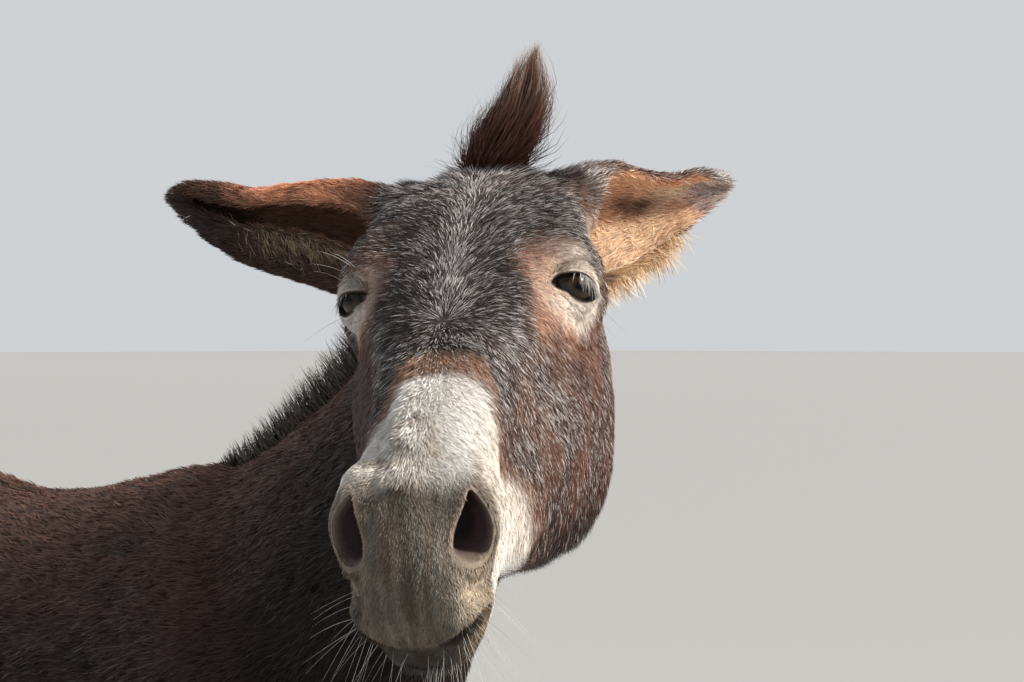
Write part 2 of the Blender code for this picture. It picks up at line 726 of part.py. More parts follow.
# A place inside each part of the flesh, by which the parts are told from one another.
PLACES = {
    "head": HEAD_FRAME @ Vector((0, -0.20, -0.10)),
    "neck": Vector((-0.05, -0.58, 1.08)),
    "trunk": Vector((0, 0.05, 0.84)),
    "tail": Vector((0, 0.645, 0.86)),
    "leg_front_left": Vector((0.098, -0.370, 0.32)),
    "leg_front_right": Vector((-0.098, -0.370, 0.32)),
    "leg_hind_left": Vector((0.108, 0.44, 0.36)),
    "leg_hind_right": Vector((-0.108, 0.44, 0.36)),
}


def middle_of(obj, faces):
    total, weight = Vector(), 0.0
    for index in faces:
        face = obj.data.polygons[index]
        total += face.center * face.area
        weight += face.area
    return total / weight


def part_flesh(body):
    """The named parts of the flesh, one object each."""
    for cutter in parting_slabs():
        subtract(body, cutter, remove=True)
    sole_box = box_cutter("below", (2, 4, 1), Matrix.Translation((0, 0, CORONET - 0.5)))
    subtract(body, sole_box, remove=True)
    groups = sorted(islands(body), key=len, reverse=True)[: len(PLACES)]
    parts = {}
    for faces in groups:
        middle = middle_of(body, faces)
        name = min(PLACES, key=lambda label: (PLACES[label] - middle).length)
        parts[name] = shell_object(name, body, faces)
    bpy.data.objects.remove(body)
    return parts


def set_on_floor(objects):
    """Moves everything so that the origin is on the floor under the middle of the model."""
    low, high = Vector((1e9, 1e9, 1e9)), Vector((-1e9, -1e9, -1e9))
    for obj in objects:
        for vertex in obj.data.vertices:
            low = Vector(map(min, low, vertex.co))
            high = Vector(map(max, high, vertex.co))
    shift = Vector((-(low.x + high.x) / 2, -(low.y + high.y) / 2, -low.z))
    for obj in objects:
        obj.data.transform(Matrix.Translation(shift))


def finish(obj, look):
    bm = bmesh.new()
    bm.from_mesh(obj.data)
    bmesh.ops.triangulate(bm, faces=bm.faces)
    bm.to_mesh(obj.data)
    bm.free()
    obj.data.materials.clear()
    obj.data.materials.append(material("mat_" + obj.name, **look))
    for face in obj.data.polygons:
        face.material_index = 0


def main():
    clear_scene()
    body = shaped_flesh()
    made = []
    for label in EARS:
        shell = only_largest(subtract_grown(apply_modifiers(ear(label)), body))
        made.append((shell, COAT))
    tuft = apply_modifiers(forelock())
    for other in [body] + [shell for shell, _ in made]:
        subtract_grown(tuft, other)
    tuft = only_largest(tuft)
    crest = subtract_grown(apply_modifiers(mane()), tuft)
    crest = only_largest(subtract_grown(crest, body, MANE_GAP))
    made += [(crest, HAIR), (tuft, HAIR)]
    made.append((only_largest(subtract_grown(apply_modifiers(tail_tuft()), body)), HAIR))
    for label, side in (("left", 1), ("right", -1)):
        eye = eyeball(label, side)
        subtract_grown(body, eye)
        made.append((eye, CORNEA))
        for end in LEGS:
            foot = apply_modifiers(hoof(end, side))
            foot.name = f"hoof_{end}_{label}"
            made.append((foot, HORN))
    made += [(part, COAT) for part in part_flesh(body).values()]
    set_on_floor([obj for obj, _ in made])
    for obj, look in made:
        finish(obj, look)


if __name__ == "__main__":
    main()
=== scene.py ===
"""The donkey's coat, skin, eyes, mane and hooves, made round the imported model."""

import json
import math

import bmesh
import bpy
import numpy as np
from mathutils import Matrix, Vector
from mathutils.bvhtree import BVHTree

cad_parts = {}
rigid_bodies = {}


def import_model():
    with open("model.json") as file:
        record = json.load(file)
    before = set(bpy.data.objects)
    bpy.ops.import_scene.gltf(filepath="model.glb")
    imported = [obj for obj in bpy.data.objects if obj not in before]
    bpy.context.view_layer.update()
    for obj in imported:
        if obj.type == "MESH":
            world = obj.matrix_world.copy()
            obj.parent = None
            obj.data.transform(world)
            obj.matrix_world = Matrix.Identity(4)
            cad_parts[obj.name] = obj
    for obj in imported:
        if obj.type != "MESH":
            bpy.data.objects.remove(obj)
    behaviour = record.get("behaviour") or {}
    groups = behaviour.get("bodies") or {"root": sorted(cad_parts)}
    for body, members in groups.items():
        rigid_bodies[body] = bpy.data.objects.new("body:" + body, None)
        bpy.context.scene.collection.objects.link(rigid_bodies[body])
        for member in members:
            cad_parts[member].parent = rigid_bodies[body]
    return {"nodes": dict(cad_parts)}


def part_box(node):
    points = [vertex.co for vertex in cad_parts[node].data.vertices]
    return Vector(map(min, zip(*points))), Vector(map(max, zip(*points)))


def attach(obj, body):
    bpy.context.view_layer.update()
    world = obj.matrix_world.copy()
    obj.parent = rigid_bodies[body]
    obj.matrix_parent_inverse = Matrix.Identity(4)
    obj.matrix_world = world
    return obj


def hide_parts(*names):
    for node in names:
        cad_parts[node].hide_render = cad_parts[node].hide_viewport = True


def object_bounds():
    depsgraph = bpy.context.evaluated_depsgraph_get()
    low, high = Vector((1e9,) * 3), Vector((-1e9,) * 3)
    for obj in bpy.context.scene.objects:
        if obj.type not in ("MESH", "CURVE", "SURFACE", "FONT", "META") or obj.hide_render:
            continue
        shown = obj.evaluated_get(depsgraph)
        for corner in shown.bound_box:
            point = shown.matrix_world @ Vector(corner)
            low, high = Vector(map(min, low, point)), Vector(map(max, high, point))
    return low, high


for leftover in list(bpy.data.objects):
    bpy.data.objects.remove(leftover)
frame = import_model()
CAD_BOX = [list(corner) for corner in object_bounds()]
NODES = frame["nodes"]

# ---------------------------------------------------------------- the head's frame

HEAD_TURN, HEAD_SLOPE, HEAD_TILT = -51.5, 30.9, -3.9  # degrees
EYE = Vector((0.0760, -0.160, -0.0435))  # the left eye, in the head's frame
EYE_RADIUS = 0.0205
EYE_FACING = Vector((0.72, -0.58, 0.38)).normalized()
EAR_ROOT = np.array((0.066, -0.032, -0.066))
EARS = {  # side, reach of the ear and the way its opening faces, in the head's frame
    "left": (1, np.array((0.130, 0.178, -0.062)), np.array((0.80, -0.58, 0.00))),
    "right": (-1, np.array((-0.228, 0.100, 0.018)), np.array((-0.39, -0.905, 0.12))),
}
EAR_SWEEP = 0.008  # how far the middle of an ear bows back
# Along each ear: share of its length, top and bottom edge from its axis, and its depth.
EAR_SHAPE = {
    "left": np.array((
        (-0.10, 0.034, -0.034, 0.028), (0.00, 0.050, -0.044, 0.036), (0.12, 0.056, -0.047, 0.040),
        (0.24, 0.054, -0.047, 0.040), (0.38, 0.044, -0.044, 0.036), (0.52, 0.034, -0.040, 0.031),
        (0.66, 0.028, -0.029, 0.024), (0.78, 0.029, -0.019, 0.019), (0.88, 0.026, -0.007, 0.013),
        (0.94, 0.018, 0.002, 0.008),
    )),
    "right": np.array((
        (-0.10, 0.034, -0.034, 0.028), (0.00, 0.044, -0.046, 0.036), (0.12, 0.047, -0.056, 0.040),
        (0.24, 0.045, -0.059, 0.040), (0.38, 0.037, -0.058, 0.038), (0.52, 0.027, -0.057, 0.034),
        (0.66, 0.016, -0.053, 0.029), (0.79, 0.016, -0.042, 0.023), (0.90, 0.014, -0.025, 0.015),
        (0.975, 0.004, -0.011, 0.008),
    )),
}  # fmt: skip
NOSTRIL = np.array((0.035, -0.464, -0.042))


def middle(node):
    low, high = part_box(node)
    return (low + high) / 2


turn = (
    Matrix.Rotation(math.radians(HEAD_TURN), 3, "Z")
    @ Matrix.Rotation(math.radians(HEAD_SLOPE), 3, "X")
    @ Matrix.Rotation(math.radians(HEAD_TILT), 3, "Y")
)
between_eyes = (middle("eye_left") + middle("eye_right")) / 2
poll = between_eyes - turn @ Vector((0, EYE.y, EYE.z))
HEAD = np.array(turn)  # its columns are the head's axes: left, backwards and out of the forehead
POLL = np.array(poll)


def to_head(points):
    return (points - POLL) @ HEAD


def from_head(points):
    return points @ HEAD.T + POLL


def unit(vectors):
    return vectors / np.maximum(np.linalg.norm(vectors, axis=-1, keepdims=True), 1e-12)


def ear_axes(label):
    """Along an ear, up across it and out of its hollow, in the head's frame."""
    side, reach, facing = EARS[label]
    along = unit(reach)
    front = unit(facing - along * (facing @ along))
    return along, np.cross(along, front) * -side, front


def ear_place(h, label):
    """Share of an ear's length, degrees round it from its back upwards, and share of its radius."""
    side, reach, _ = EARS[label]
    along, up, front = ear_axes(label)
    shares, top, bottom, depth = EAR_SHAPE[label].T
    d = h - EAR_ROOT * (side, 1, 1)
    t = d @ along / np.linalg.norm(reach)
    rise = d @ up - np.interp(t, shares, (top + bottom) / 2)
    rise = rise / np.interp(t, shares, (top - bottom) / 2)
    out = d @ front + EAR_SWEEP * np.sin(math.pi * np.clip(t, 0, 1))
    out = out / np.interp(t, shares, depth)
    return t, np.degrees(np.arctan2(rise, -out)), np.hypot(rise, out)


def ramp(x, low, high):
    """0 at low and 1 at high, eased; low may be the greater."""
    t = np.clip((x - low) / (high - low), 0, 1)
    return t * t * (3 - 2 * t)


def blend(base, goal, share):
    """The base where share is 0, and the goal where it is 1."""
    share = share[:, None] if np.ndim(base) > 1 else share
    return base * (1 - share) + np.asarray(goal) * share


def bump(x, middle, wide):
    """1 at the middle, falling off evenly to both sides."""
    return np.exp(-(((x - middle) / wide) ** 2))


def stacked(*columns):
    """Columns side by side, with a plain number repeated all the way down."""
    return np.stack(np.broadcast_arrays(*columns), 1)


def noise(points, scale, seed=0):
    """Smooth noise from 0 to 1 that changes over the given length."""
    q = points / scale + 1000.0
    cell = np.floor(q).astype(np.int64)
    t = q - cell
    t = t * t * (3 - 2 * t)
    total = np.zeros(len(points))
    for i in (0, 1):
        for j in (0, 1):
            for k in (0, 1):
                h = (cell[:, 0] + i) * 374761393 + (cell[:, 1] + j) * 668265263
                h = (h + (cell[:, 2] + k) * 1103515245 + seed * 974711) & 0xFFFFFFFF
                h = ((h ^ (h >> 13)) * 1274126177) & 0xFFFFFFFF
                h = ((h ^ (h >> 16)) & 0xFFFF) / 65535.0
                weight = (t[:, 0] if i else 1 - t[:, 0]) * (t[:, 1] if j else 1 - t[:, 1])
                total += h * weight * (t[:, 2] if k else 1 - t[:, 2])
    return total


# ---------------------------------------------------------------- meshes as arrays


def positions(mesh):
    out = np.empty(len(mesh.vertices) * 3, np.float32)
    mesh.vertices.foreach_get("co", out)
    return out.reshape(-1, 3).astype(float)


def set_positions(mesh, points):
    mesh.vertices.foreach_set("co", points.astype(np.float32).ravel())
    mesh.update()


def vertex_normals(mesh):
    out = np.empty(len(mesh.vertices) * 3, np.float32)
    mesh.vertex_normals.foreach_get("vector", out)
    return out.reshape(-1, 3).astype(float)


def edge_ends(mesh):
    out = np.empty(len(mesh.edges) * 2, np.int32)
    mesh.edges.foreach_get("vertices", out)
    return out.reshape(-1, 2)


def triangles(mesh):
    mesh.calc_loop_triangles()
    out = np.empty(len(mesh.loop_triangles) * 3, np.int32)
    mesh.loop_triangles.foreach_get("vertices", out)
    return out.reshape(-1, 3)


def spread(values, ends, rounds, keep=0.0):
    """Averages a value over each vertex's neighbours, again and again."""
    count = len(values)
    table = values.reshape(count, -1)
    degree = np.maximum(np.bincount(ends.ravel(), minlength=count), 1)
    for _ in range(rounds):
        new = np.empty_like(table)
        for c, column in enumerate(table.T):
            new[:, c] = np.bincount(ends[:, 0], column[ends[:, 1]], count)
            new[:, c] += np.bincount(ends[:, 1], column[ends[:, 0]], count)
        table = keep * table + (1 - keep) * new / degree[:, None]
    return table.reshape(values.shape)


def new_object(name, mesh):
    obj = bpy.data.objects.new(name, mesh)
    bpy.context.scene.collection.objects.link(obj)
    return obj


def applied(obj):
    """The object with its modifiers made real."""
    graph = bpy.context.evaluated_depsgraph_get()
    mesh = bpy.data.meshes.new_from_object(obj.evaluated_get(graph))
    old = obj.data
    obj.modifiers.clear()
    obj.data = mesh
    bpy.data.meshes.remove(old)
    return obj


def mesh_from(name, points, faces, sides, tint=None, uv=None):
    """A smooth mesh of faces that all have the same number of sides."""
    mesh = bpy.data.meshes.new(name)
    loops = np.asarray(faces, np.int32).ravel()
    count = len(loops) // sides
    mesh.vertices.add(len(points))
    mesh.vertices.foreach_set("co", np.asarray(points, np.float32).ravel())
    mesh.loops.add(len(loops))
    mesh.loops.foreach_set("vertex_index", loops)
    mesh.polygons.add(count)
    mesh.polygons.foreach_set("loop_start", np.arange(count, dtype=np.int32) * sides)
    mesh.polygons.foreach_set("loop_total", np.full(count, sides, np.int32))
    mesh.update(calc_edges=True)
    mesh.polygons.foreach_set("use_smooth", np.ones(count, bool))
    if tint is not None:
        paint(mesh, tint)
    if uv is not None:
        layer = mesh.uv_layers.new(name="OFBake")
        layer.data.foreach_set("uv", uv[loops].astype(np.float32).ravel())
    return mesh


def paint(mesh, tint):
    layer = mesh.attributes.get("tint") or mesh.attributes.new("tint", "FLOAT_COLOR", "POINT")
    rgba = np.ones((len(tint), 4), np.float32)
    rgba[:, :3] = tint
    layer.data.foreach_set("color", rgba.ravel())


# ---------------------------------------------------------------- the skin

FLESH = (
    "head", "neck", "trunk", "tail", "ear_left", "ear_right",
    "leg_front_left", "leg_front_right", "leg_hind_left", "leg_hind_right",
)  # fmt: skip
VOXEL = 0.0034  # of the remesh that joins the flesh
SKIN_TRIANGLES = 172_000  # before the face is refined
OVERLAP = 0.0008  # how far each solid grows, so that the gaps between them close


def ear_gaps(h, end):
    """For each ear, how far along it each point lies and how far from its line, up to an end."""
    for side, reach, _ in EARS.values():
        root = EAR_ROOT * (side, 1, 1)
        t = (h - root) @ reach / (reach @ reach)
        yield t, np.linalg.norm(h - root - np.clip(t, 0, end)[:, None] * reach, axis=1)


def head_share(points):
    """1 on the head and ears, 0 on the neck and body."""
    h = to_head(points)
    share = ramp(np.linalg.norm(h - (0, -0.24, -0.10), axis=1), 0.35, 0.29)
    for _, gap in ear_gaps(h, 1.2):
        share = np.maximum(share, ramp(gap, 0.085, 0.070))
    return share


def ear_share(points):
    """1 out on an ear, 0 off it."""
    share = np.zeros(len(points))
    for t, gap in ear_gaps(to_head(points), 1.1):
        share = np.maximum(share, ramp(gap, 0.075, 0.060) * ramp(t, 0.05, 0.30))
    return share


def flesh_shell():
    """The solids of flesh and the eyes, grown a little and joined into one surface."""
    whole = bmesh.new()
    for name in FLESH + ("eye_left", "eye_right"):
        part = bmesh.new()
        part.from_mesh(NODES[name].data)
        part.transform(NODES[name].matrix_world)
        bmesh.ops.remove_doubles(part, verts=part.verts, dist=1e-6)
        part.normal_update()
        for vertex in part.verts:
            vertex.co += vertex.normal * OVERLAP
        mesh = bpy.data.meshes.new("part")
        part.to_mesh(mesh)
        whole.from_mesh(mesh)
        part.free()
        bpy.data.meshes.remove(mesh)
    mesh = bpy.data.meshes.new("skin")
    whole.to_mesh(mesh)
    whole.free()
    obj = new_object("skin", mesh)
    remesh = obj.modifiers.new("Remesh", "REMESH")
    remesh.mode, remesh.voxel_size = "VOXEL", VOXEL
    return applied(obj)


def largest_only(obj):
    """Drops the bubbles that the gaps between the solids leave inside."""
    mesh = obj.data
    ends = edge_ends(mesh)
    label = np.arange(len(mesh.vertices))
    while True:
        low = np.minimum(label[ends[:, 0]], label[ends[:, 1]])
        new = label.copy()
        np.minimum.at(new, ends[:, 0], low)
        np.minimum.at(new, ends[:, 1], low)
        new = new[new]
        if (new == label).all():
            break
        label = new
    biggest = np.bincount(label).argmax()
    if (label != biggest).any():
        bm = bmesh.new()
        bm.from_mesh(mesh)
        bm.verts.ensure_lookup_table()
        stray = [bm.verts[i] for i in np.nonzero(label != biggest)[0]]
        bmesh.ops.delete(bm, geom=stray, context="VERTS")
        bm.to_mesh(mesh)
        bm.free()
    return obj


def coat_depth(points):
    """How deep the skin lies below the coat's outer surface."""
    h, z = to_head(points), points[:, 2]
    body = np.where(z < 0.8, 0.0035 + 0.0045 * ramp(z, 0.50, 0.75), 0.008)
    face = 0.0036 - 0.0024 * ramp(-h[:, 1], 0.32, 0.40)
    for side in (1, -1):
        gap = np.linalg.norm(h - np.array(EYE) * (side, 1, 1), axis=1)
        face = np.minimum(face, 0.0012 + 0.0024 * ramp(gap, 0.030, 0.050))
    return blend(blend(body, face, head_share(points)), 0.0018, ear_share(points))


def make_skin():
    """One smooth skin, sunk below the solids by the depth of the coat."""
    obj = largest_only(flesh_shell())
    shell = positions(obj.data)
    on_head, on_ear = head_share(shell), ear_share(shell)
    slim = np.maximum(ramp(shell[:, 2], 0.72, 0.56), ramp(shell[:, 1], 0.62, 0.70))
    body = (1 - on_head) * (1 - 0.82 * slim)
    for name, weights, rounds in (("body", body, 180), ("face", on_head * (1 - 0.5 * on_ear), 10)):
        group = obj.vertex_groups.new(name=name)
        steps = np.round(np.clip(weights, 0, 1) * 20).astype(int)
        for step in range(1, 21):
            group.add(np.nonzero(steps == step)[0].tolist(), step / 20, "REPLACE")
        smooth = obj.modifiers.new(name, "SMOOTH")
        smooth.factor, smooth.iterations, smooth.vertex_group = 0.5, rounds, name
    applied(obj)
    points, normals, ends = positions(obj.data), vertex_normals(obj.data), edge_ends(obj.data)
    sunk = ((shell - points) * normals).sum(1)
    move = spread(coat_depth(shell) + OVERLAP - sunk, ends, 14)
    set_positions(obj.data, points - normals * move[:, None])
    obj.vertex_groups.clear()
    group = obj.vertex_groups.new(name="body")
    group.add(np.nonzero(on_head < 0.5)[0].tolist(), 1.0, "REPLACE")
    thin = obj.modifiers.new("Decimate", "DECIMATE")
    thin.vertex_group, thin.vertex_group_factor = "body", 1.0
    thin.ratio = SKIN_TRIANGLES / (2 * len(obj.data.polygons))
    applied(obj)
    obj.vertex_groups.clear()
    return obj


def refine(obj, centres, radius):
    """Halves the edges of the skin within a distance of some places."""
    bm = bmesh.new()
    bm.from_mesh(obj.data)
    bm.verts.ensure_lookup_table()
    points = positions(obj.data)
    near = np.zeros(len(points), bool)
    for centre in centres:
        near |= np.linalg.norm(points - centre, axis=1) < radius
    chosen = set(np.nonzero(near)[0].tolist())
    edges = [e for e in bm.edges if e.verts[0].index in chosen and e.verts[1].index in chosen]
    bmesh.ops.subdivide_edges(bm, edges=edges, cuts=1, use_grid_fill=True)
    bmesh.ops.triangulate(bm, faces=[f for f in bm.faces if len(f.verts) > 3])
    bm.to_mesh(obj.data)
    bm.free()


def closed_curve(corners, count=72):
    """A smooth closed outline through some corners."""
    corners = np.array(corners, float)
    n = len(corners)
    t = np.linspace(0, n, count, endpoint=False)
    i = t.astype(int)
    f = (t - i)[:, None]
    p0, p1, p2, p3 = (corners[(i + k) % n] for k in (-1, 0, 1, 2))
    return 0.5 * (
        2 * p1 + (p2 - p0) * f + (2 * p0 - 5 * p1 + 4 * p2 - p3) * f**2
        + (3 * p1 - p0 - 3 * p2 + p3) * f**3
    )  # fmt: skip


def outline_gap(xy, outline):
    """Distance outside a closed outline, below 0 within it, and the nearest place on it."""
    start, step = outline, np.roll(outline, -1, axis=0) - outline
    best = np.full(len(xy), 1e9)
    nearest = np.zeros((len(xy), 2))
    winding = np.zeros(len(xy), bool)
    for p, d in zip(start, step):
        t = np.clip(((xy - p) @ d) / (d @ d), 0, 1)
        foot = p + t[:, None] * d
        gap = np.linalg.norm(xy - foot, axis=1)
        closer = gap < best
        best = np.where(closer, gap, best)
        nearest[closer] = foot[closer]
        crosses = (p[1] > xy[:, 1]) != (p[1] + d[1] > xy[:, 1])
        if abs(d[1]) > 1e-12:
            x = p[0] + (xy[:, 1] - p[1]) / d[1] * d[0]
            winding ^= crosses & (xy[:, 0] < x)
    return np.where(winding, -best, best), nearest


def cubic_terms(x, y):
    return stacked(1.0, x, y, x * x, x * y, y * y, x**3, x * x * y, x * y * y, y**3)


def press(points, ends, axes, edge, reach, height, fill=None):
    """Reshapes the skin round an opening: axes are its middle, then across, up and outwards, and
    height gives the new height from the place, the distance outside the edge and the height before.
    An old hollow in a ring from fill's first distance to its second is bridged over before that."""
    centre, across, up, out = axes
    outline = closed_curve(edge)
    h = to_head(points)
    d = h - centre
    x, y, z = d @ across, d @ up, d @ out
    chosen = (np.hypot(x, y) < reach) & (np.abs(z) < 0.045)
    index = np.full(len(points), -1)
    index[chosen] = np.arange(chosen.sum())
    local = index[ends]
    local = local[(local >= 0).all(axis=1)]
    xy = np.stack([x, y], 1)[chosen]
    z = z[chosen]
    gap, _ = outline_gap(xy, outline)
    if fill:
        rim = (gap > fill[0]) & (gap < fill[1])
        solved = np.linalg.lstsq(cubic_terms(*(xy[rim] / reach).T), z[rim], rcond=None)[0]
        z = blend(z, cubic_terms(*(xy / reach).T) @ solved, ramp(gap, fill[1], fill[0]))
    loose = ramp(gap, 0.008, 0.003)
    for _ in range(12):
        xy = blend(xy, spread(xy, local, 1), loose)
    for _ in range(2):
        gap, foot = outline_gap(xy, outline)
        pull = np.abs(gap) < SNAP
        xy = np.where(pull[:, None], foot, xy)
    gap = np.where(pull, 0.0, outline_gap(xy, outline)[0])
    share = ramp(np.hypot(x, y)[chosen], reach, reach * 0.82)
    new = blend(z, height(xy[:, 0], xy[:, 1], gap, z), share)
    h[chosen] = centre + xy[:, :1] * across + xy[:, 1:] * up + new[:, None] * out
    return from_head(h)


# The outlines run forwards or outwards, then up, in metres from the middle of the opening.
LIDS = (
    (0.0290, 0.0030), (0.0215, 0.0072), (0.0140, 0.0100), (0.0065, 0.0108), (-0.0010, 0.0094),
    (-0.0078, 0.0050), (-0.0128, -0.0012), (-0.0132, -0.0066), (-0.0078, -0.0100), (0.0010, -0.0104),
    (0.0085, -0.0076), (0.0150, -0.0034), (0.0215, -0.0002),
)  # fmt: skip
LID_LENGTH = np.array((-0.693, -0.603, 0.395))  # from the middle of the left eye to its inner corner
LID_THICK = 0.0021
RIGHT_LID = 0.58  # the right eye's upper lid hangs lower: its height as a share of the left one's
NOSTRIL_EDGE = (
    (0.0090, 0.0220), (0.0020, 0.0160), (-0.0060, 0.0080), (-0.0115, 0.0000), (-0.0135, -0.0080),
    (-0.0085, -0.0150), (0.0020, -0.0180), (0.0110, -0.0140), (0.0160, -0.0040), (0.0160, 0.0070),
    (0.0130, 0.0170),
)  # fmt: skip
NOSTRIL_FACING = unit(np.array((0.42, -0.88, 0.20)))
SNAP = 0.0005  # the skin's points nearer than this to an outline are drawn onto it
# The left half of the line between the lips, from its middle to its corner.
MOUTH = np.array((
    (0.000, -0.5100, -0.1020), (0.014, -0.5095, -0.1008), (0.023, -0.5090, -0.0955),
    (0.032, -0.5060, -0.0885), (0.040, -0.4930, -0.0880), (0.0450, -0.4700, -0.0960),
    (0.0470, -0.4420, -0.1130),
))  # fmt: skip


def eye_axes(side):
    """The eye's centre and its axes in the head's frame: towards the nose, up and outwards."""
    mirror = np.array((side, 1, 1))
    facing = np.array(EYE_FACING) * mirror
    forward = LID_LENGTH * mirror
    forward = unit(forward - facing * (forward @ facing))
    up = np.cross(facing, forward)
    return np.array(EYE) * mirror, forward, up * np.sign(up[2]), facing


def nostril_axes(side):
    """The nostril's middle and its axes: away from the nose's ridge, up and outwards."""
    mirror = np.array((side, 1, 1))
    out = NOSTRIL_FACING * mirror
    up = unit(np.array((0, 0, 1.0)) - out * out[2])
    across = np.cross(up, out)
    return NOSTRIL * mirror, across * np.sign(across[0] * side), up, out


def lid_edge(side):
    """The outline of the left eye, or of the right, which is less open."""
    return tuple((x, y * RIGHT_LID if side < 0 and y > 0 else y) for x, y in LIDS)


def nostril_edge(side):
    """The outline of a nostril, the same on both sides."""
    return NOSTRIL_EDGE


def lid_height(x, y, gap, z):
    """Both lids lie on the ball, with a fold above, and the skin within them dips behind it."""
    across = np.hypot(x, y)
    ball = np.sqrt(np.maximum((EYE_RADIUS + LID_THICK) ** 2 - across**2, 0.0))
    inner = np.sqrt(np.maximum((EYE_RADIUS - 0.004) ** 2 - across**2, 0.0))
    around = z - 0.0060 * ramp(y, -0.006, 0.004) * ramp(across, 0.030, 0.020)
    soft = 0.0022 + 0.0060 * ramp(y, 0.002, -0.008)  # the lower lid runs out into the cheek
    new = 0.5 * (around + ball + np.sqrt((around - ball) ** 2 + soft**2))
    new = blend(ball, new, ramp(across, 0.0120, 0.0170))
    above = ramp(y, 0.000, 0.006)
    near, wide = ramp(across, 0.036, 0.028), ramp(across, 0.046, 0.038)
    new += 0.0009 * bump(gap, 0, 0.0020)
    new -= 0.0024 * bump(gap, 0.0082, 0.0016) * above * near
    new += 0.0028 * bump(gap, 0.0155, 0.0055) * above * wide
    new -= 0.0011 * bump(gap, 0.0068, 0.0012) * (1 - above) * near
    new += 0.0010 * bump(gap, 0.0105, 0.0030) * (1 - above) * near
    corner = ramp(across, 0.0155, 0.0190)  # the wet pink by the nose lies beside the ball
    within = blend(np.minimum(new, inner), new - 0.0032 * ramp(gap, 0.0, -0.0015), corner)
    return np.where(gap < -1e-6, within, new)


def nostril_height(x, y, gap, z):
    """A rim, fuller on the wing of the nose, with a hollow behind it, round a deep hole."""
    outer = ramp(x * 0.9 - y * 0.5, -0.010, 0.014)  # 1 on the wing of the nose
    rim = (0.0012 + 0.0030 * outer) * bump(gap, 0.003, 0.0050)
    hollow = -0.0022 * bump(gap, 0.0150, 0.0050) * outer
    slope = 0.0016 + 0.0048 * outer * ramp(y, 0.014, 0.004)
    deep = -0.024 * (1 - np.exp(np.minimum(gap, 0) / slope))
    return z + (rim + hollow) * ramp(gap, 0.026, 0.016) + np.where(gap < -1e-6, deep - 0.001, 0)


def mouth_line(count):
    """Places along the left half of the line between the lips."""
    share = np.linspace(0, len(MOUTH) - 1, count)
    return np.stack([np.interp(share, np.arange(len(MOUTH)), column) for column in MOUTH.T], 1)


def line_gap(h, line):
    """Distance from a line, whether the point is below it, and the nearest place along it."""
    d = h[:, None] - line[None]
    distance = np.linalg.norm(d, axis=2)
    nearest = distance.argmin(axis=1)
    rows = np.arange(len(h))
    return distance[rows, nearest], d[rows, nearest, 2] < 0, nearest / len(line)


def part_lips(points, normals):
    """Presses the line between the lips into the muzzle, with the lips full on both sides."""
    h = to_head(points)
    for side in (1, -1):
        near = np.linalg.norm(h - MOUTH[3] * (side, 1, 1), axis=1) < 0.085
        rows = np.nonzero(near & (h[:, 0] * side > -0.001))[0]
        gap, below, along = line_gap(h[rows], mouth_line(90) * (side, 1, 1))
        share = ramp(along, 1.02, 0.85)
        push = -0.0052 * bump(gap, 0, 0.0017) * (0.35 + 0.65 * share)
        push += np.where(below, 0.0016, 0.0022) * bump(gap, 0.0065, 0.0035) * share
        middle = np.where(h[rows, 0] * side < 0.001, 0.5, 1.0)  # both sides reach the middle
        points[rows] += normals[rows] * (push * middle)[:, None]
    return points


# Hollows pressed into the skin: place in the head's frame, radius and depth.
HOLLOWS = (
    ((-0.043, -0.487, -0.070), 0.017, 0.0065),  # under the right wing of the nose
    ((0.045, -0.487, -0.071), 0.014, 0.0040),  # and under the left
    ((0.000, -0.492, -0.054), 0.007, 0.0016),
    ((0.000, -0.504, -0.070), 0.007, 0.0020),
    ((0.000, -0.510, -0.086), 0.007, 0.0020),
    ((0.000, -0.475, -0.162), 0.046, 0.0190),  # the chin
    ((-0.030, -0.500, -0.118), 0.018, 0.0040),
)


def near_spot(h, spot, radius):
    """1 at a spot, falling off over the radius."""
    return bump(np.linalg.norm(h - spot, axis=1), 0, radius)


def press_hollows(points, normals):
    """Presses in the hollows, and flattens the nose's ridge along its right side."""
    h = to_head(points)
    depth = np.zeros(len(points))
    for spot, radius, deep in HOLLOWS:
        depth += deep * near_spot(h, spot, radius)
    facet = bump(h[:, 0], -0.027, 0.0085) * ramp(h[:, 2], -0.040, -0.025)
    depth += 0.0038 * facet * ramp(-h[:, 1], 0.310, 0.360) * ramp(-h[:, 1], 0.465, 0.405)
    return points - normals * depth[:, None]


skin = make_skin()
fronts = [from_head(eye_axes(s)[0] + 0.018 * eye_axes(s)[3]) for s in (1, -1)]
nostrils = [from_head(nostril_axes(s)[0]) for s in (1, -1)]
lips = [from_head(p * (s, 1, 1)) for p in MOUTH for s in (1, -1)]
for places, radius in (
    (fronts, 0.040), (nostrils, 0.036), (lips, 0.012), (fronts, 0.027), (nostrils, 0.030),
):  # fmt: skip
    refine(skin, places, radius)
skin_ends = edge_ends(skin.data)
points = positions(skin.data)
touch = np.zeros(len(points))
for place in fronts + nostrils + lips:
    touch = np.maximum(touch, ramp(np.linalg.norm(points - place, axis=1), 0.046, 0.040))
points = points + (spread(points, skin_ends, 3, keep=0.5) - points) * touch[:, None]
set_positions(skin.data, points)
points = press_hollows(points, vertex_normals(skin.data))
for side in (1, -1):
    points = press(points, skin_ends, eye_axes(side), lid_edge(side), 0.046, lid_height)
    points = press(
        points, skin_ends, nostril_axes(side), nostril_edge(side), 0.040, nostril_height,
        fill=(0.006, 0.016),
    )  # fmt: skip
set_positions(skin.data, points)
points = part_lips(points, vertex_normals(skin.data))
set_positions(skin.data, points)
skin.data.polygons.foreach_set("use_smooth", np.ones(len(skin.data.polygons), bool))

# ---------------------------------------------------------------- how the coat lies, and its markings

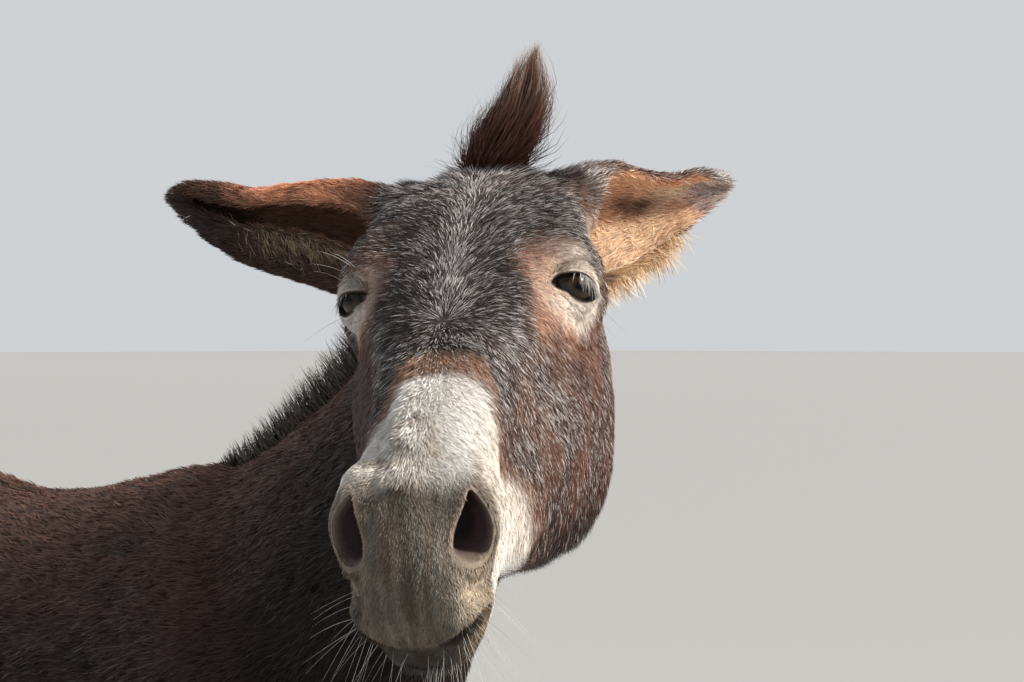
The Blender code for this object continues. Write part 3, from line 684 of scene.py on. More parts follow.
PARTS = ("head", "neck", "trunk", "tail", "legs", "ears")
WHORL = -0.265  # along the head's middle
SPINE_X = (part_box("trunk")[0].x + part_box("trunk")[1].x) / 2
# Each kind of opening: its axes, its outline, and how far from its middle it is looked for.
EYES, NOSTRILS = (eye_axes, lid_edge, 0.09), (nostril_axes, nostril_edge, 0.06)

CHARCOAL = np.array((0.054, 0.041, 0.039))
DARK = np.array((0.034, 0.021, 0.018))
BROWN = np.array((0.095, 0.050, 0.036))
RUST = np.array((0.330, 0.155, 0.090))
FAWN = np.array((0.420, 0.280, 0.180))
CREAM = np.array((0.660, 0.540, 0.440))
WHITE = np.array((0.880, 0.850, 0.800))
GREY = np.array((0.210, 0.182, 0.142))
BLACK = np.array((0.014, 0.011, 0.010))
# the ears' orange, painted brighter than their own colour as painted light
ORANGE = np.array((1.000, 0.530, 0.315))
ROAN = np.array((0.680, 0.640, 0.620))


def part_shares(points, ends):
    """How much of each point belongs to each part of the body, eased where they meet."""
    corners, faces, owner = [], [], []
    for name in FLESH:
        kind = next((k for k, p in enumerate(PARTS) if name.startswith(p.rstrip("s"))), 0)
        mesh = NODES[name].data
        base = len(corners)
        matrix = NODES[name].matrix_world
        corners += [matrix @ v.co for v in mesh.vertices]
        for polygon in mesh.polygons:
            faces.append([base + i for i in polygon.vertices])
            owner.append(kind)
    tree = BVHTree.FromPolygons(corners, faces)
    shares = np.zeros((len(points), len(PARTS)))
    for i, point in enumerate(points.tolist()):
        shares[i, owner[tree.find_nearest(point)[2]]] = 1
    return spread(shares, ends, 8)


def ear_inside(h, normal):
    """1 on the hollow side of the ears."""
    inside = np.zeros(len(h))
    for label, (side, _, _) in EARS.items():
        _, up, front = ear_axes(label)
        _, angle, ratio = ear_place(h, label)
        angle = np.radians(angle)[:, None]
        toward = -((up * np.sin(angle) - front * np.cos(angle)) * normal).sum(1)
        inside = np.maximum(inside, (toward > 0.1) * (ratio < 1.2) * (h[:, 0] * side > 0))
    return inside


def flow_at(points, normals, shares):
    """The way the coat lies: out from the whorl on the brow, and back and down elsewhere."""
    h = to_head(points)
    l, y, n = h.T
    sign = np.tanh(l / 0.012)
    rise = y - WHORL
    above = rise > 0
    apart = sign * np.where(above, 0.030, 0.016) + l * np.where(above, 1.1, 1.0)
    upward = np.tanh(rise / 0.018) * 0.055 - np.where(above, 0.95, 0.25) * np.abs(l)
    brow = unit(stacked(apart, upward, -0.9 * np.abs(l)))
    cheek = unit(stacked(0.05 * sign, -0.30, -0.95))
    nose = unit(stacked(0.15 * sign, -0.35, -1.0))
    low = ramp((normals @ HEAD)[:, 2], -0.45, -0.85) * ramp(y, -0.44, -0.40)
    face = blend(brow, cheek, ramp(n, -0.020, -0.085))
    face = blend(face, (0.0, 0.55, -0.80), ramp(y, -0.14, -0.06) * ramp(n, -0.05, -0.12))
    face = blend(face, nose, ramp(y, -0.41, -0.46))
    face = blend(face, stacked(0.2 * sign, 1.0, -0.5), low)
    up, thigh = ramp(normals[:, 2], 0.2, 0.9), ramp(points[:, 2], 0.50, 0.85)
    total = shares[:, 0:1] * (unit(face) @ HEAD.T)
    total += shares[:, 1:2] * unit(np.array((0.12, 0.80, -0.55)))
    total += shares[:, 2:3] * unit(stacked(0 * up, 1.0, -0.40 * (1 - up)))
    total += shares[:, 3:4] * np.array((0.0, 0.25, -0.95))
    total += shares[:, 4:5] * unit(stacked(0 * thigh, 0.12 + 0.45 * thigh, -1.0))
    for side, reach, _ in EARS.values():
        mine = (l * side > 0)[:, None]
        total += shares[:, 5:6] * mine * (unit(reach) @ HEAD.T)
    return total


def opening_gap(h, axes, edge, reach):
    """Distance outside the nearer of two openings, below 0 within it, and how far the point lies
    across and up from its middle."""
    gap, place = np.full(len(h), 1.0), np.zeros((len(h), 2))
    for side in (1, -1):
        centre, across, up, _ = axes(side)
        d = h - centre
        near = (np.linalg.norm(d, axis=1) < reach) & (h[:, 0] * side > 0)
        place[near] = np.stack([d @ across, d @ up], 1)[near]
        gap[near] = outline_gap(place[near], closed_curve(edge(side), 40))[0]
    return gap, place


def mouth_gap(h):
    """Distance from the line between the lips, and whether the point is below it."""
    gap, below = np.full(len(h), 1.0), np.zeros(len(h), bool)
    near = np.nonzero(np.linalg.norm(h - (0, -0.49, -0.10), axis=1) < 0.11)[0]
    folded = np.abs(h[near] * (1, 0, 0)) + h[near] * (0, 1, 1)  # the right half onto the left
    gap[near], below[near], _ = line_gap(folded, mouth_line(60))
    return gap, below


def round_eyes(flow, h):
    """Turns the coat beside the eyelids away from the opening, so that no hair lies over the eye."""
    gap, place = opening_gap(h, *EYES)
    for side in (1, -1):
        _, across, up, _ = eye_axes(side)
        away = (place[:, :1] - 0.005) / 0.020**2 * across + (place[:, 1:] - 0.002) / 0.012**2 * up
        away = unit(away) @ HEAD.T
        toward = np.maximum(0.25 - (flow * away).sum(1), 0) * ramp(gap, 0.014, 0.005)
        flow = flow + away * (toward * (h[:, 0] * side > 0))[:, None]
    return flow


# Where the pale muzzle begins, along the head, against how far round from the nose's ridge.
PALE_LEFT = np.array((
    (0.000, 0.328), (0.022, 0.330), (0.039, 0.332), (0.051, 0.340), (0.063, 0.350), (0.070, 0.358),
    (0.083, 0.370), (0.106, 0.350), (0.126, 0.338), (0.147, 0.329), (0.178, 0.316), (0.201, 0.308),
    (0.223, 0.290),
)).T  # fmt: skip
PALE_RIGHT = np.array((
    (0.000, 0.328), (0.017, 0.331), (0.025, 0.339), (0.028, 0.352), (0.035, 0.366), (0.041, 0.378),
    (0.059, 0.390), (0.083, 0.386), (0.106, 0.362), (0.126, 0.345), (0.147, 0.332), (0.178, 0.316),
    (0.223, 0.290),
)).T  # fmt: skip


def flat(colour, count):
    return np.tile(np.asarray(colour, float), (count, 1))


def layered(tint, *layers):
    """Lays colours over a tint, one after another, each as far as its share."""
    for colour, share in layers:
        tint = blend(tint, colour, share)
    return tint


def marked(coat, *marks):
    """Lays marks on a coat of a tint and a share of white hairs. A mark is a colour, where it lies,
    how much it covers there, and the share of the white hairs that it drops."""
    tint, white = coat
    for colour, share, cover, fade in marks:
        tint, white = blend(tint, colour, share * cover), white * (1 - fade * share)
    return tint, white


def body_markings(points, normals, shares):
    """Dark brown, darker on the sides and lighter on top partly as painted shade and painted light,
    with a pale belly, and a dark stripe and cross on the back.
    """
    rough, fine = noise(points, 0.055, 1), noise(points, 0.016, 2)
    side, z = points[:, 0] - SPINE_X, points[:, 2]
    trunk, legs = shares[:, 2], shares[:, 4]
    up = ramp(normals[:, 2], 0.1, 0.9)
    belly = ramp(normals[:, 2], -0.10, -0.95) * ramp(z, 0.86, 0.64) * trunk
    inner = ramp(normals[:, 0] * -np.sign(side), 0.2, 0.9) * ramp(z, 0.80, 0.58) * legs
    stripe = ramp(np.abs(side), 0.014, 0.006) * ramp(normals[:, 2], 0.5, 0.8) * trunk
    cross = ramp(np.abs(points[:, 1] + 0.10 - 0.25 * np.abs(side)), 0.018, 0.006)
    cross = cross * ramp(z, 0.86, 0.96) * trunk
    return layered(
        # very dark sides, and lighter brown with pale flecks on top: partly the coat's own colour,
        # partly painted shade and painted light with painted glints
        flat(DARK * (0.30, 0.27, 0.38), len(points)),
        (BROWN * (1.1, 1.0, 1.05), 0.02 + 0.08 * rough + 0.80 * up),
        (BROWN * 1.9, 0.45 * up * fine),
        (FAWN * 0.62, belly * 0.75),
        (FAWN * 0.5, inner * 0.55),
        ((0.075, 0.055, 0.046), ramp(z, 0.52, 0.32) * legs * 0.7),
        (BLACK, np.maximum(stripe, cross) * 0.75),
    )


def muzzle_markings(points, h):
    """White on the bridge, grey and streaked in front, with dark nostrils and lower lip."""
    l, a, n = h[:, 0], -h[:, 1], h[:, 2]
    fine, blotch = noise(points, 0.016, 2), ramp(noise(points, 0.011, 6), 0.50, 0.78)
    middle = ramp(l, 0.026, 0.006) * ramp(l, -0.050, -0.020)
    front = ramp(a, 0.434, 0.458) * ramp(n, -0.118, -0.098)
    front *= 1 - ramp(np.abs(l), 0.045, 0.054) * ramp(a, 0.475, 0.455)
    streak = ramp(noise(h * (3.0, 0.30, 0.30), 0.010, 7), 0.25, 0.80)
    tan = ramp(noise(h * (2.0, 0.4, 0.4), 0.014, 9), 0.45, 0.75)
    # the front of the nose, grey with tan and darker streaks: its own colour, painted darker in part
    # as painted shade
    nose = layered(
        flat(GREY * 0.80, len(h)), (GREY * (0.34, 0.30, 0.25), streak), (FAWN * 0.62, 0.35 * tan)
    )
    dapple = ramp(noise(points, 0.0040, 8), 0.56, 0.72) * ramp(a, 0.39, 0.44) * ramp(l, 0.030, 0.044)
    corner = ramp(np.linalg.norm(h - (0.044, -0.470, -0.105), axis=1), 0.038, 0.010)
    gap, place = opening_gap(h, *NOSTRILS)
    wing = ramp(place[:, 0] * 0.9 - place[:, 1] * 0.5, -0.008, 0.012)
    pink = bump(gap, 0, 0.0040) * (1 - wing) * ramp(place[:, 1], -0.012, 0.000)
    fleck = ramp(noise(points, 0.0032, 19), 0.52, 0.66)
    under = near_spot(h, (0.043, -0.490, -0.074), 0.017)  # below the left nostril
    lips, below = mouth_gap(h)
    full = ramp(a + 0.006 * (fine - 0.5), 0.448, 0.480)  # 1 where the lower lip is dark all over
    lower = ramp(lips, 0.009 + 0.050 * full, 0.002 + 0.036 * full)
    rim = np.where(below, lower, ramp(lips, 0.010, 0.002) * 0.8)
    return layered(
        flat(WHITE, len(h)),
        (CREAM * 1.05, 0.10 * fine + 0.50 * ramp(l, 0.030, 0.046)),
        (CREAM * (0.80, 0.86, 0.92), middle * ramp(a, 0.345, 0.385) * (0.06 + 0.50 * blotch)),
        (FAWN * (0.85, 1.0, 1.15), middle * ramp(a, 0.395, 0.435) * (0.35 + 0.40 * blotch)),
        (nose, front * 0.95),
        (GREY * 0.7, dapple * 0.60),
        (FAWN * 0.95, corner * 0.55),
        (GREY * (0.80, 0.74, 0.70), ramp(gap, 0.015, 0.004) * (0.25 + 0.60 * wing)),
        ((0.46, 0.33, 0.26), pink * 0.60),
        # dark inside the nostrils and darker deeper in: dark skin, with painted shade deeper in
        ((0.060, 0.034, 0.038), ramp(gap, 0.0015, -0.0030)),
        ((0.018, 0.010, 0.012), ramp(gap, -0.0040, -0.0100)),
        ((0.620, 0.490, 0.350), under * 0.85 * (1 - 0.55 * fleck)),
        ((0.017, 0.010, 0.006), rim * 0.95),
        ((0.030, 0.019, 0.012), ramp(n, -0.112, -0.130) * full * 0.95 * (1 - rim)),
        # tan on the left of the chin: partly tan hair, partly painted rim light
        ((0.420, 0.290, 0.170), 0.55 * near_spot(h, (0.042, -0.474, -0.118), 0.018)),
    )


def eye_markings(points, h, coat):
    """A pale ring round each eye, pink and rusty towards the nose, with dark rims to the lids, and a
    darker fold above the upper lid that is partly painted shade.
    """
    eyes, place = opening_gap(h, *EYES)
    ahead = place[:, 0] * 0.92 - place[:, 1] * 0.30
    soft = eyes + 0.008 * (noise(points, 0.016, 2) - 0.5) + 0.004 * (noise(points, 0.005, 10) - 0.5)
    inner, below = ramp(ahead, 0.004, 0.022), ramp(place[:, 1], 0.002, -0.012)
    # the left eye's ring is painted paler, redder and wider than the right's: partly its own colour,
    # partly painted light
    sunny = ramp(h[:, 0], -0.02, 0.02)  # the left eye's ring is the paler and the redder
    rust, pink, cream = (
        blend(flat(right, len(h)), left, sunny)
        for right, left in (
            ((0.230, 0.115, 0.080), (0.480, 0.255, 0.170)),
            ((0.420, 0.300, 0.245), (0.800, 0.550, 0.420)),
            ((0.620, 0.575, 0.540), (0.810, 0.715, 0.620)),
        )
    )
    edge = np.maximum(inner, 0.85 * ramp(ahead, -0.020, 0.000) * (1 - below))
    patch = near_spot(h, (0.063, -0.221, -0.031), 0.014)  # before the left eye
    reach = 0.014 + 0.006 * sunny - 0.006 * ramp(ahead, -0.010, -0.020)
    lid = ramp(soft, reach + 0.009, reach - 0.008) * (1 - 0.8 * inner * (1 - below))
    face, white = marked(
        coat,
        (rust, ramp(soft, 0.038, 0.022) * edge, 0.75, 0.55),
        ((0.520, 0.275, 0.170), patch, 0.85, 0.6),
        (pink, ramp(soft, 0.029, 0.013) * inner, 0.88, 0.85),
        (cream, lid * (1 - 0.85 * patch), 0.90, 0.85),
    )
    # darker brown in the fold above the upper lid, and olive just above the lid towards the nose:
    # partly the hair's own colour, partly painted shade in the fold
    olive = ramp(eyes, 0.0065, 0.0020) * (1 - below) * ramp(ahead, -0.004, 0.012)
    face = layered(
        face,
        ((0.170, 0.110, 0.085), bump(eyes, 0.0082, 0.0018) * (1 - below) * 0.28),
        ((0.200, 0.150, 0.100), olive * 0.55),
        ((0.036, 0.026, 0.024), ramp(eyes, 0.0020, 0.0008)),
    )
    return face, white


def head_markings(points, normals):
    """The head's tint and share of white hairs: greying brow, brown cheeks and pale muzzle."""
    h = to_head(points)
    l, a, n = h[:, 0], -h[:, 1], h[:, 2]
    rough, fine = noise(points, 0.055, 1), noise(points, 0.016, 2)
    low = ramp(n, -0.012, -0.060)
    cheek = layered(
        flat(BROWN * (1.25, 1.02, 0.95), len(h)),
        (DARK * 1.3, 0.60 * ramp(rough, 0.35, 0.70)),
        # the right cheek a darker, less red brown: partly its own colour, partly painted shade
        ((0.092, 0.062, 0.058), 0.85 * ramp(-l, 0.0, 0.030)),
    )
    # fewer white hairs on the right of the face: partly its own colour, partly painted shade
    shady = ramp(-l, 0.004, 0.034) * ramp(a, 0.04, 0.12)
    grey = 0.43 - 0.24 * low + 0.35 * (rough - 0.5) - 0.26 * shady
    grey += 0.16 * ramp(a, 0.10, 0.02) * ramp(n, -0.05, 0.0)
    grey += 0.24 * bump(l, 0, 0.007) * ramp(a, 0.30, 0.26) * ramp(a, 0.04, 0.10)
    grey += 0.26 * near_spot(h, (0.068, -0.280, -0.080), 0.026)
    brown = ramp(noise(points, 0.024, 15), 0.55, 0.75) * (1 - low)
    red = ramp(noise(points, 0.030, 5), 0.45, 0.72) * ramp(n, -0.02, -0.06) * ramp(a, 0.03, 0.10)
    # less rust on the right of the face: partly its own colour, partly painted shade
    red *= 1 - 0.75 * ramp(-l, -0.01, 0.02)
    temple = near_spot(h, (0.080, -0.033, -0.022), 0.017)
    by_ear = near_spot(h, (0.090, -0.047, -0.046), 0.019)
    # darker where the jaw's underside faces down: partly darker hair, partly painted shade
    jowl = ramp((normals @ HEAD)[:, 2], -0.05, -0.50) * ramp(n, -0.11, -0.19)
    # the rusty edge of the muzzle, and the pale muzzle
    wound = 0.6 * np.abs(l) - n
    line = a + 0.010 * (rough - 0.5) + 0.009 * (fine - 0.5)
    line -= np.where(l > 0, np.interp(wound, *PALE_LEFT), np.interp(wound, *PALE_RIGHT))
    top = ramp(wound, 0.055, 0.030)
    wide = 0.014 + 0.016 * top
    band = ramp(line, -wide - 0.006, -wide + 0.010) * ramp(line, 0.010, -0.002)
    band *= np.where(l > 0, 0.50 + 0.50 * top, 0.12 + 0.88 * top) * ramp(n, -0.20, -0.14)
    coat = marked(
        (layered(flat(CHARCOAL, len(h)), (cheek, low), (BROWN, brown * 0.5)), grey),
        (RUST * 0.62, red, 0.6, 0.30),
        (RUST * (1.1, 1.2, 1.3), temple, 0.8, 0.3),
        (CREAM * (1.0, 0.92, 0.86), by_ear, 0.85, 0.6),
        # the darker underside of the jaw, partly painted shade
        (DARK, jowl, 1.0, 0.75),
        (RUST * (1.25, 1.48, 1.62), band, 0.80, 0.40),
        (muzzle_markings(points, h), ramp(line, -0.005, 0.009), 1.0, 1.0),
    )
    return eye_markings(points, h, coat)


def left_ear(t, far, angle, rough, fine, inside):
    """The tint of the left ear's back and of its hollow, with painted light and painted shade in the
    hollow, and its share of white hairs.
    """
    tip, base = ramp(far, 0.71, 0.84), ramp(t, 0.24, 0.06)
    back = layered(
        flat(DARK, len(t)),
        (BROWN * 1.3, 0.5 + 0.4 * rough),
        ((0.40, 0.35, 0.34), tip * 0.8),
        ((0.230, 0.175, 0.150), base * 0.8),
    )
    # a bright patch in the hollow: painted light shining through the ear
    lit = np.exp(-(((t - 0.66) / 0.16) ** 2) - ((angle - 22) / 34) ** 2)
    low = ramp(angle + 40 * (fine - 0.5) + 14 * (rough - 0.5), -2, -48) * ramp(t, 0.80, 0.62)
    # a dark patch in the hollow: partly dark hair, partly painted shade
    pocket = np.exp(-(((t - 0.50) / 0.15) ** 2 + ((angle - 6) / 20) ** 2))
    hollow = layered(
        # the hollow's orange, brightened in part as painted light shining through the ear
        flat(ORANGE, len(t)),
        (ORANGE * (0.70, 0.54, 0.46), 0.6 * ramp(rough + 0.5 * fine, 0.55, 1.0)),
        ((1.000, 0.700, 0.500), lit),
        ((0.72, 0.50, 0.32), low * 0.9),
        ((0.055, 0.024, 0.014), pocket * (0.75 + 0.4 * fine).clip(0, 1)),
        ((0.78, 0.52, 0.36), 0.7 * ramp(t, 0.26, 0.10)),
        ((0.36, 0.29, 0.27), tip * 0.75),
    )
    white = 0.03 + 0.60 * tip + (1 - inside) * (0.25 * ramp(angle, 120, 70) + 0.25 * base)
    return back, hollow, white


def right_ear(t, far, angle, rough, fine, inside):
    """The same of the right ear, whose back is rusty along its upper edge, partly as painted light.
    """
    tip, dark = ramp(far, 0.60, 0.74), flat(DARK, len(t))
    # the upper edge of the back in rusty orange: partly rust hair, partly painted light where the
    # light falls from above
    over = ramp(np.abs(angle - 92), 62, 30) * (0.55 + 0.45 * ramp(t, 0.05, 0.35))
    back = layered(
        dark,
        (BROWN * (1.0, 0.8, 0.7), 0.6 * rough),
        (ORANGE * (0.96, 0.80, 0.76), over * (0.70 + 0.30 * rough)),
        (BROWN * 1.2, over * ramp(fine + 0.4 * rough, 0.60, 1.00) * 0.5),
        (BROWN * 1.1, ramp(t, 0.26, 0.04) * 0.8),
        (dark * 0.9, tip * 0.9),
    )
    hollow = layered(
        flat((0.400, 0.200, 0.125), len(t)),
        ((0.130, 0.072, 0.052), rough),
        ((0.34, 0.17, 0.10), 0.5 * ramp(t, 0.30, 0.10)),
        (dark, tip * 0.8),
    )
    return back, hollow, 0.002 + 0.06 * ramp(far, 0.84, 0.97) * (1 - inside)


def ear_markings(label, points, h, inside):
    """An ear's tint and share of white hairs; inside is 1 in its hollow."""
    rough, fine = noise(points, 0.055, 1), noise(points, 0.016, 2)
    t, angle, _ = ear_place(h, label)
    far = t + 0.07 * (fine - 0.5)
    looks = left_ear if label == "left" else right_ear
    back, hollow, white = looks(t, far, angle, rough, fine, inside)
    return blend(back, hollow, inside), white + 0.10 * (1 - inside) * ramp(t, 0.15, 0.0)


def markings(points, normals, shares, inside):
    """The coat's colour, and the share of white hairs in it."""
    h = to_head(points)
    face, grey = head_markings(points, normals)
    share = shares[:, 0] + 0.6 * shares[:, 5]
    share = np.clip(share / np.maximum(shares.sum(1), 1e-6), 0, 1)
    tint = blend(body_markings(points, normals, shares), face, share)
    roan = np.clip(grey, 0, 1) * share
    for label, (side, _, _) in EARS.items():
        mine = ramp(shares[:, 5], 0.25, 0.75) * (h[:, 0] * side > 0)
        colour, white = ear_markings(label, points, h, inside)
        tint, roan = blend(tint, colour, mine), blend(roan, white, mine)
    return np.clip(tint, 0, 1), np.clip(roan, 0, 0.9)


class Surface:
    """The skin as arrays, with what the coat needs at each vertex."""

    def __init__(self, obj):
        mesh = obj.data
        self.points, self.normals = positions(mesh), vertex_normals(mesh)
        self.ends, self.corners = edge_ends(mesh), triangles(mesh)
        self.shares = part_shares(self.points, self.ends)
        self.head = to_head(self.points)
        ears = self.shares[:, 5] > 0.2
        self.inside = spread(ear_inside(self.head, self.normals @ HEAD) * ears, self.ends, 2)
        flow = round_eyes(flow_at(self.points, self.normals, self.shares), self.head)
        for _ in range(3):
            flow = spread(flow, self.ends, 2, keep=0.3)
            flow = unit(flow - self.normals * (flow * self.normals).sum(1)[:, None])
        self.flow = flow
        self.tint, self.roan = markings(self.points, self.normals, self.shares, self.inside)
        self.eyes, self.nose = (opening_gap(self.head, *kind)[0] for kind in (EYES, NOSTRILS))
        self.lips = mouth_gap(self.head)[0]
        p = self.points[self.corners]
        cross = np.cross(p[:, 1] - p[:, 0], p[:, 2] - p[:, 0])
        self.area = np.linalg.norm(cross, axis=1) / 2

    def scatter(self, weight, count):
        """Roots spread evenly over the skin where weight, at the vertices, is above 0."""
        mass = self.area * weight[self.corners].mean(axis=1)
        expected = mass / mass.sum() * count
        number = np.floor(expected + rng.random(len(expected))).astype(int)
        rows = np.repeat(np.arange(len(number)), number)
        u, v = rng.random(len(rows)), rng.random(len(rows))
        flip = u + v > 1
        u, v = np.where(flip, 1 - u, u), np.where(flip, 1 - v, v)
        return rows, np.stack([1 - u - v, u, v], 1)

    def at(self, values, where):
        """Values at the vertices, read between them."""
        rows, share = where
        picked = values[self.corners[rows]]
        if values.ndim == 1:
            return (picked * share).sum(1)
        return (picked * share[:, :, None]).sum(1)


body = Surface(skin)
paint(skin.data, body.tint)
rng = np.random.default_rng(20)


# ---------------------------------------------------------------- the coat


def turned(x, y):
    """The angle of a place round an axis, as a share of a turn."""
    return np.arctan2(x, y) / (2 * math.pi) + 0.5


def unwrap(part, points):
    """A place on a flat map of the skin's own shape, wound round each part's own axis."""
    h = to_head(points)
    x, y, z = points[:, 0] - SPINE_X, points[:, 1], points[:, 2]
    if part == "head":
        return stacked(turned(h[:, 0], -(h[:, 2] + 0.10)), (h[:, 1] + 0.58) / 0.70)
    if part == "ears":
        out = np.zeros((len(points), 2))
        for k, (label, (side, _, _)) in enumerate(EARS.items()):
            t, angle, ratio = ear_place(h, label)
            mine = h[:, 0] * side > 0
            row = (ratio < 0.87) * 0.5  # the hollow has its own half of the map
            place = stacked(0.5 * k + 0.02 + 0.46 * (angle / 360 + 0.5), row + 0.06 + 0.38 * t)
            out[mine] = place[mine]
        return out
    if part == "neck":
        return stacked(turned(x + 0.05, z - 1.05), (y + 0.75) / 0.8)
    if part == "legs":
        hind, east = y > 0.25, points[:, 0] > SPINE_X
        centre_x, centre_y = SPINE_X + np.where(east, 0.10, -0.10), np.where(hind, 0.62, -0.20)
        angle = turned(points[:, 0] - centre_x, y - centre_y)
        return stacked((2 * hind + east + 0.05 + 0.9 * angle) / 4, z / 1.1)
    if part == "tail":
        return stacked(turned(x, y - 0.62), z / 1.2)
    return stacked(turned(x, z - 0.82), (y + 0.5) / 1.4)


PATCH = 0.003  # of a tuft on its map
TUFT_STEPS = np.array((0.0, 0.42, 0.42, 1.0))  # along a tuft: its root, both edges and its tip
TUFT_SIDES = np.array((0.0, -0.5, 0.5, 0.0))


def map_places(part, roots):
    """The corner of each hair's patch on its piece's map."""
    return 0.01 + 0.975 * np.clip(unwrap(part, roots), 0, 1)


def tufts(name, part, where, length, width, height, flow=None, tint=None):
    """Thin blades of hair that lie along the skin, rooted in it, two triangles each. They lie as
    the coat does there and have its colours, unless a flow and tints are given."""
    roots = body.at(body.points, where)
    normal = unit(body.at(body.normals, where))
    flow = unit(body.at(body.flow, where)) if flow is None else flow
    roan = body.at(body.roan, where)
    if tint is None:
        tint = body.at(body.tint, where)
    else:
        roan = roan * 0  # no white hairs
    count = len(roots)
    side = np.cross(normal, flow)
    lock = (noise(roots, 0.011, 11) - 0.5) * 0.8 + (noise(roots, 0.035, 12) - 0.5) * 0.6
    yaw = lock + rng.normal(0, 0.15, count)
    way = flow * np.cos(yaw)[:, None] + side * np.sin(yaw)[:, None]
    side = np.cross(normal, way)
    roll = rng.normal(0, 0.5, count)
    across = side * np.cos(roll)[:, None] + normal * np.sin(roll)[:, None]
    long = length * rng.uniform(0.70, 1.25, count)
    wide = width * rng.uniform(0.7, 1.3, count)
    lift = height * (0.55 + 0.75 * noise(roots, 0.009, 13)) * rng.uniform(0.6, 1.25, count)
    t, s = TUFT_STEPS, TUFT_SIDES
    rise = (lift[:, None] * (1.9 * t - 0.9 * t**2) - 0.0004 * (1 - t))[..., None]
    bend = rng.normal(0, 0.10, count)[:, None] * t**2
    place = roots[:, None] + way[:, None] * (long[:, None] * t)[..., None]
    place = place + normal[:, None] * rise + side[:, None] * (long[:, None] * bend)[..., None]
    place = place + across[:, None] * (wide[:, None] * s)[..., None]
    shade = (rng.uniform(0.65, 1.30, count) * (0.80 + 0.4 * noise(roots, 0.006, 14)))[:, None]
    patchy = 0.30 + 0.75 * noise(roots, 0.016, 17) + 0.35 * noise(roots, 0.0050, 18)
    white = (rng.random(count) < roan * patchy)[:, None]
    pale = ROAN * rng.uniform(0.5, 1.3, count)[:, None]
    light = ramp(tint.mean(axis=1), 0.25, 0.55)[:, None]
    root_tint = tint * np.where(white, 0.8, 0.6 + 0.25 * light)
    hair = np.where(white, tint * 0.35 + pale * 0.65, tint * shade)
    tip = np.where(white, pale * 1.1, tint * shade * 1.3 + 0.004)
    colour = np.stack([root_tint, hair, hair, tip], 1)
    faces = np.arange(count)[:, None] * 4 + np.array((0, 2, 1, 1, 2, 3))
    uv = map_places(part, roots)[:, None] + PATCH * stacked(s, t)[None]
    return hair_piece(name, place, faces, 3, colour, uv, coat_hair)


def dressed(obj, material):
    """The object with its material, body and slot."""
    obj.data.materials.clear()
    obj.data.materials.append(material)
    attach(obj, "root")
    return obj


def hair_piece(name, place, faces, sides, colour, uv, material):
    colour = np.clip(colour, 0, 1).reshape(-1, 3)
    mesh = mesh_from(name, place.reshape(-1, 3), faces, sides, colour, uv.reshape(-1, 2))
    return dressed(new_object(name, mesh), material)


def locks(name, part, paths, width, tints, material, sides=1):
    """Long hairs along paths of points: flat ribbons, or tubes of three sides. The tints are of
    each hair's root and tip."""
    count, steps = paths.shape[:2]
    along = unit(np.gradient(paths, axis=1))
    across = unit(np.cross(along, rng.normal(size=(count, 1, 3)) + 1e-6))
    other = np.cross(along, across)
    t = np.linspace(0, 1, steps)
    thin = (width[:, None] * (1 - 0.9 * t**1.6))[..., None] / 2
    if sides == 1:
        rows = [paths - across * thin, paths + across * thin]
    else:
        angles = (0, 2 * math.pi / 3, 4 * math.pi / 3)
        rows = [paths + (across * math.cos(q) + other * math.sin(q)) * thin for q in angles]
    wide = len(rows)
    place = np.stack(rows, 2)
    quads = []
    for i in range(steps - 1):
        for j in range(wide if wide > 2 else 1):
            k = (j + 1) % wide
            quads.append((i * wide + j, i * wide + k, (i + 1) * wide + k, (i + 1) * wide + j))
    faces = np.arange(count)[:, None, None] * steps * wide + np.array(quads)[None]
    colour = tints[:, 0, None] * (1 - t)[None, :, None] + tints[:, 1, None] * t[None, :, None]
    colour = np.repeat(colour[:, :, None], wide, axis=2)
    spot = np.stack(np.meshgrid(np.linspace(0, 1, wide), t), -1)
    uv = map_places(part, paths[:, 0])[:, None, None] + PATCH * spot
    return hair_piece(name, place, faces, 4, colour, uv, material)


# ---------------------------------------------------------------- materials


def new_material(name, roughness, specular=0.4, **constants):
    made = bpy.data.materials.new(name)
    made.use_nodes = True
    shader = made.node_tree.nodes["Principled BSDF"]
    shader.inputs["Roughness"].default_value = roughness
    shader.inputs["Specular IOR Level"].default_value = specular
    for socket, value in constants.items():
        shader.inputs[socket.replace("_", " ")].default_value = value
    return made, made.node_tree, shader


def add(tree, kind, **settings):
    """A new node, with its sockets and properties set."""
    node = tree.nodes.new(kind)
    for key, value in settings.items():
        socket = key.replace("_", " ")
        if socket in node.inputs:
            node.inputs[socket].default_value = value
        else:
            setattr(node, key, value)
    return node


def shades(tree, source, first, last, *between):
    """A colour ramp on a value. Each stop is a place and a colour."""
    node = add(tree, "ShaderNodeValToRGB")
    stops = node.color_ramp.elements
    for stop, (place, colour) in zip(stops, (first, last)):
        stop.position, stop.color = place, (*colour, 1)
    for place, colour in between:
        stops.new(place).color = (*colour, 1)
    tree.links.new(source, node.inputs[0])
    return node.outputs[0]


def tinted(tree, shader, scale, amount):
    """The painted tint, varied by a fine noise."""
    tint = add(tree, "ShaderNodeAttribute", attribute_name="tint")
    speckle = add(tree, "ShaderNodeTexNoise", Scale=scale, Detail=3.0)
    band = add(tree, "ShaderNodeMapRange", From_Min=0.3, From_Max=0.7)
    band.inputs["To Min"].default_value, band.inputs["To Max"].default_value = 1 - amount, 1 + amount
    scaled = add(tree, "ShaderNodeVectorMath", operation="SCALE")
    tree.links.new(speckle.outputs["Fac"], band.inputs["Value"])
    tree.links.new(tint.outputs["Color"], scaled.inputs[0])
    tree.links.new(band.outputs["Result"], scaled.inputs["Scale"])
    tree.links.new(scaled.outputs[0], shader.inputs["Base Color"])
    return speckle


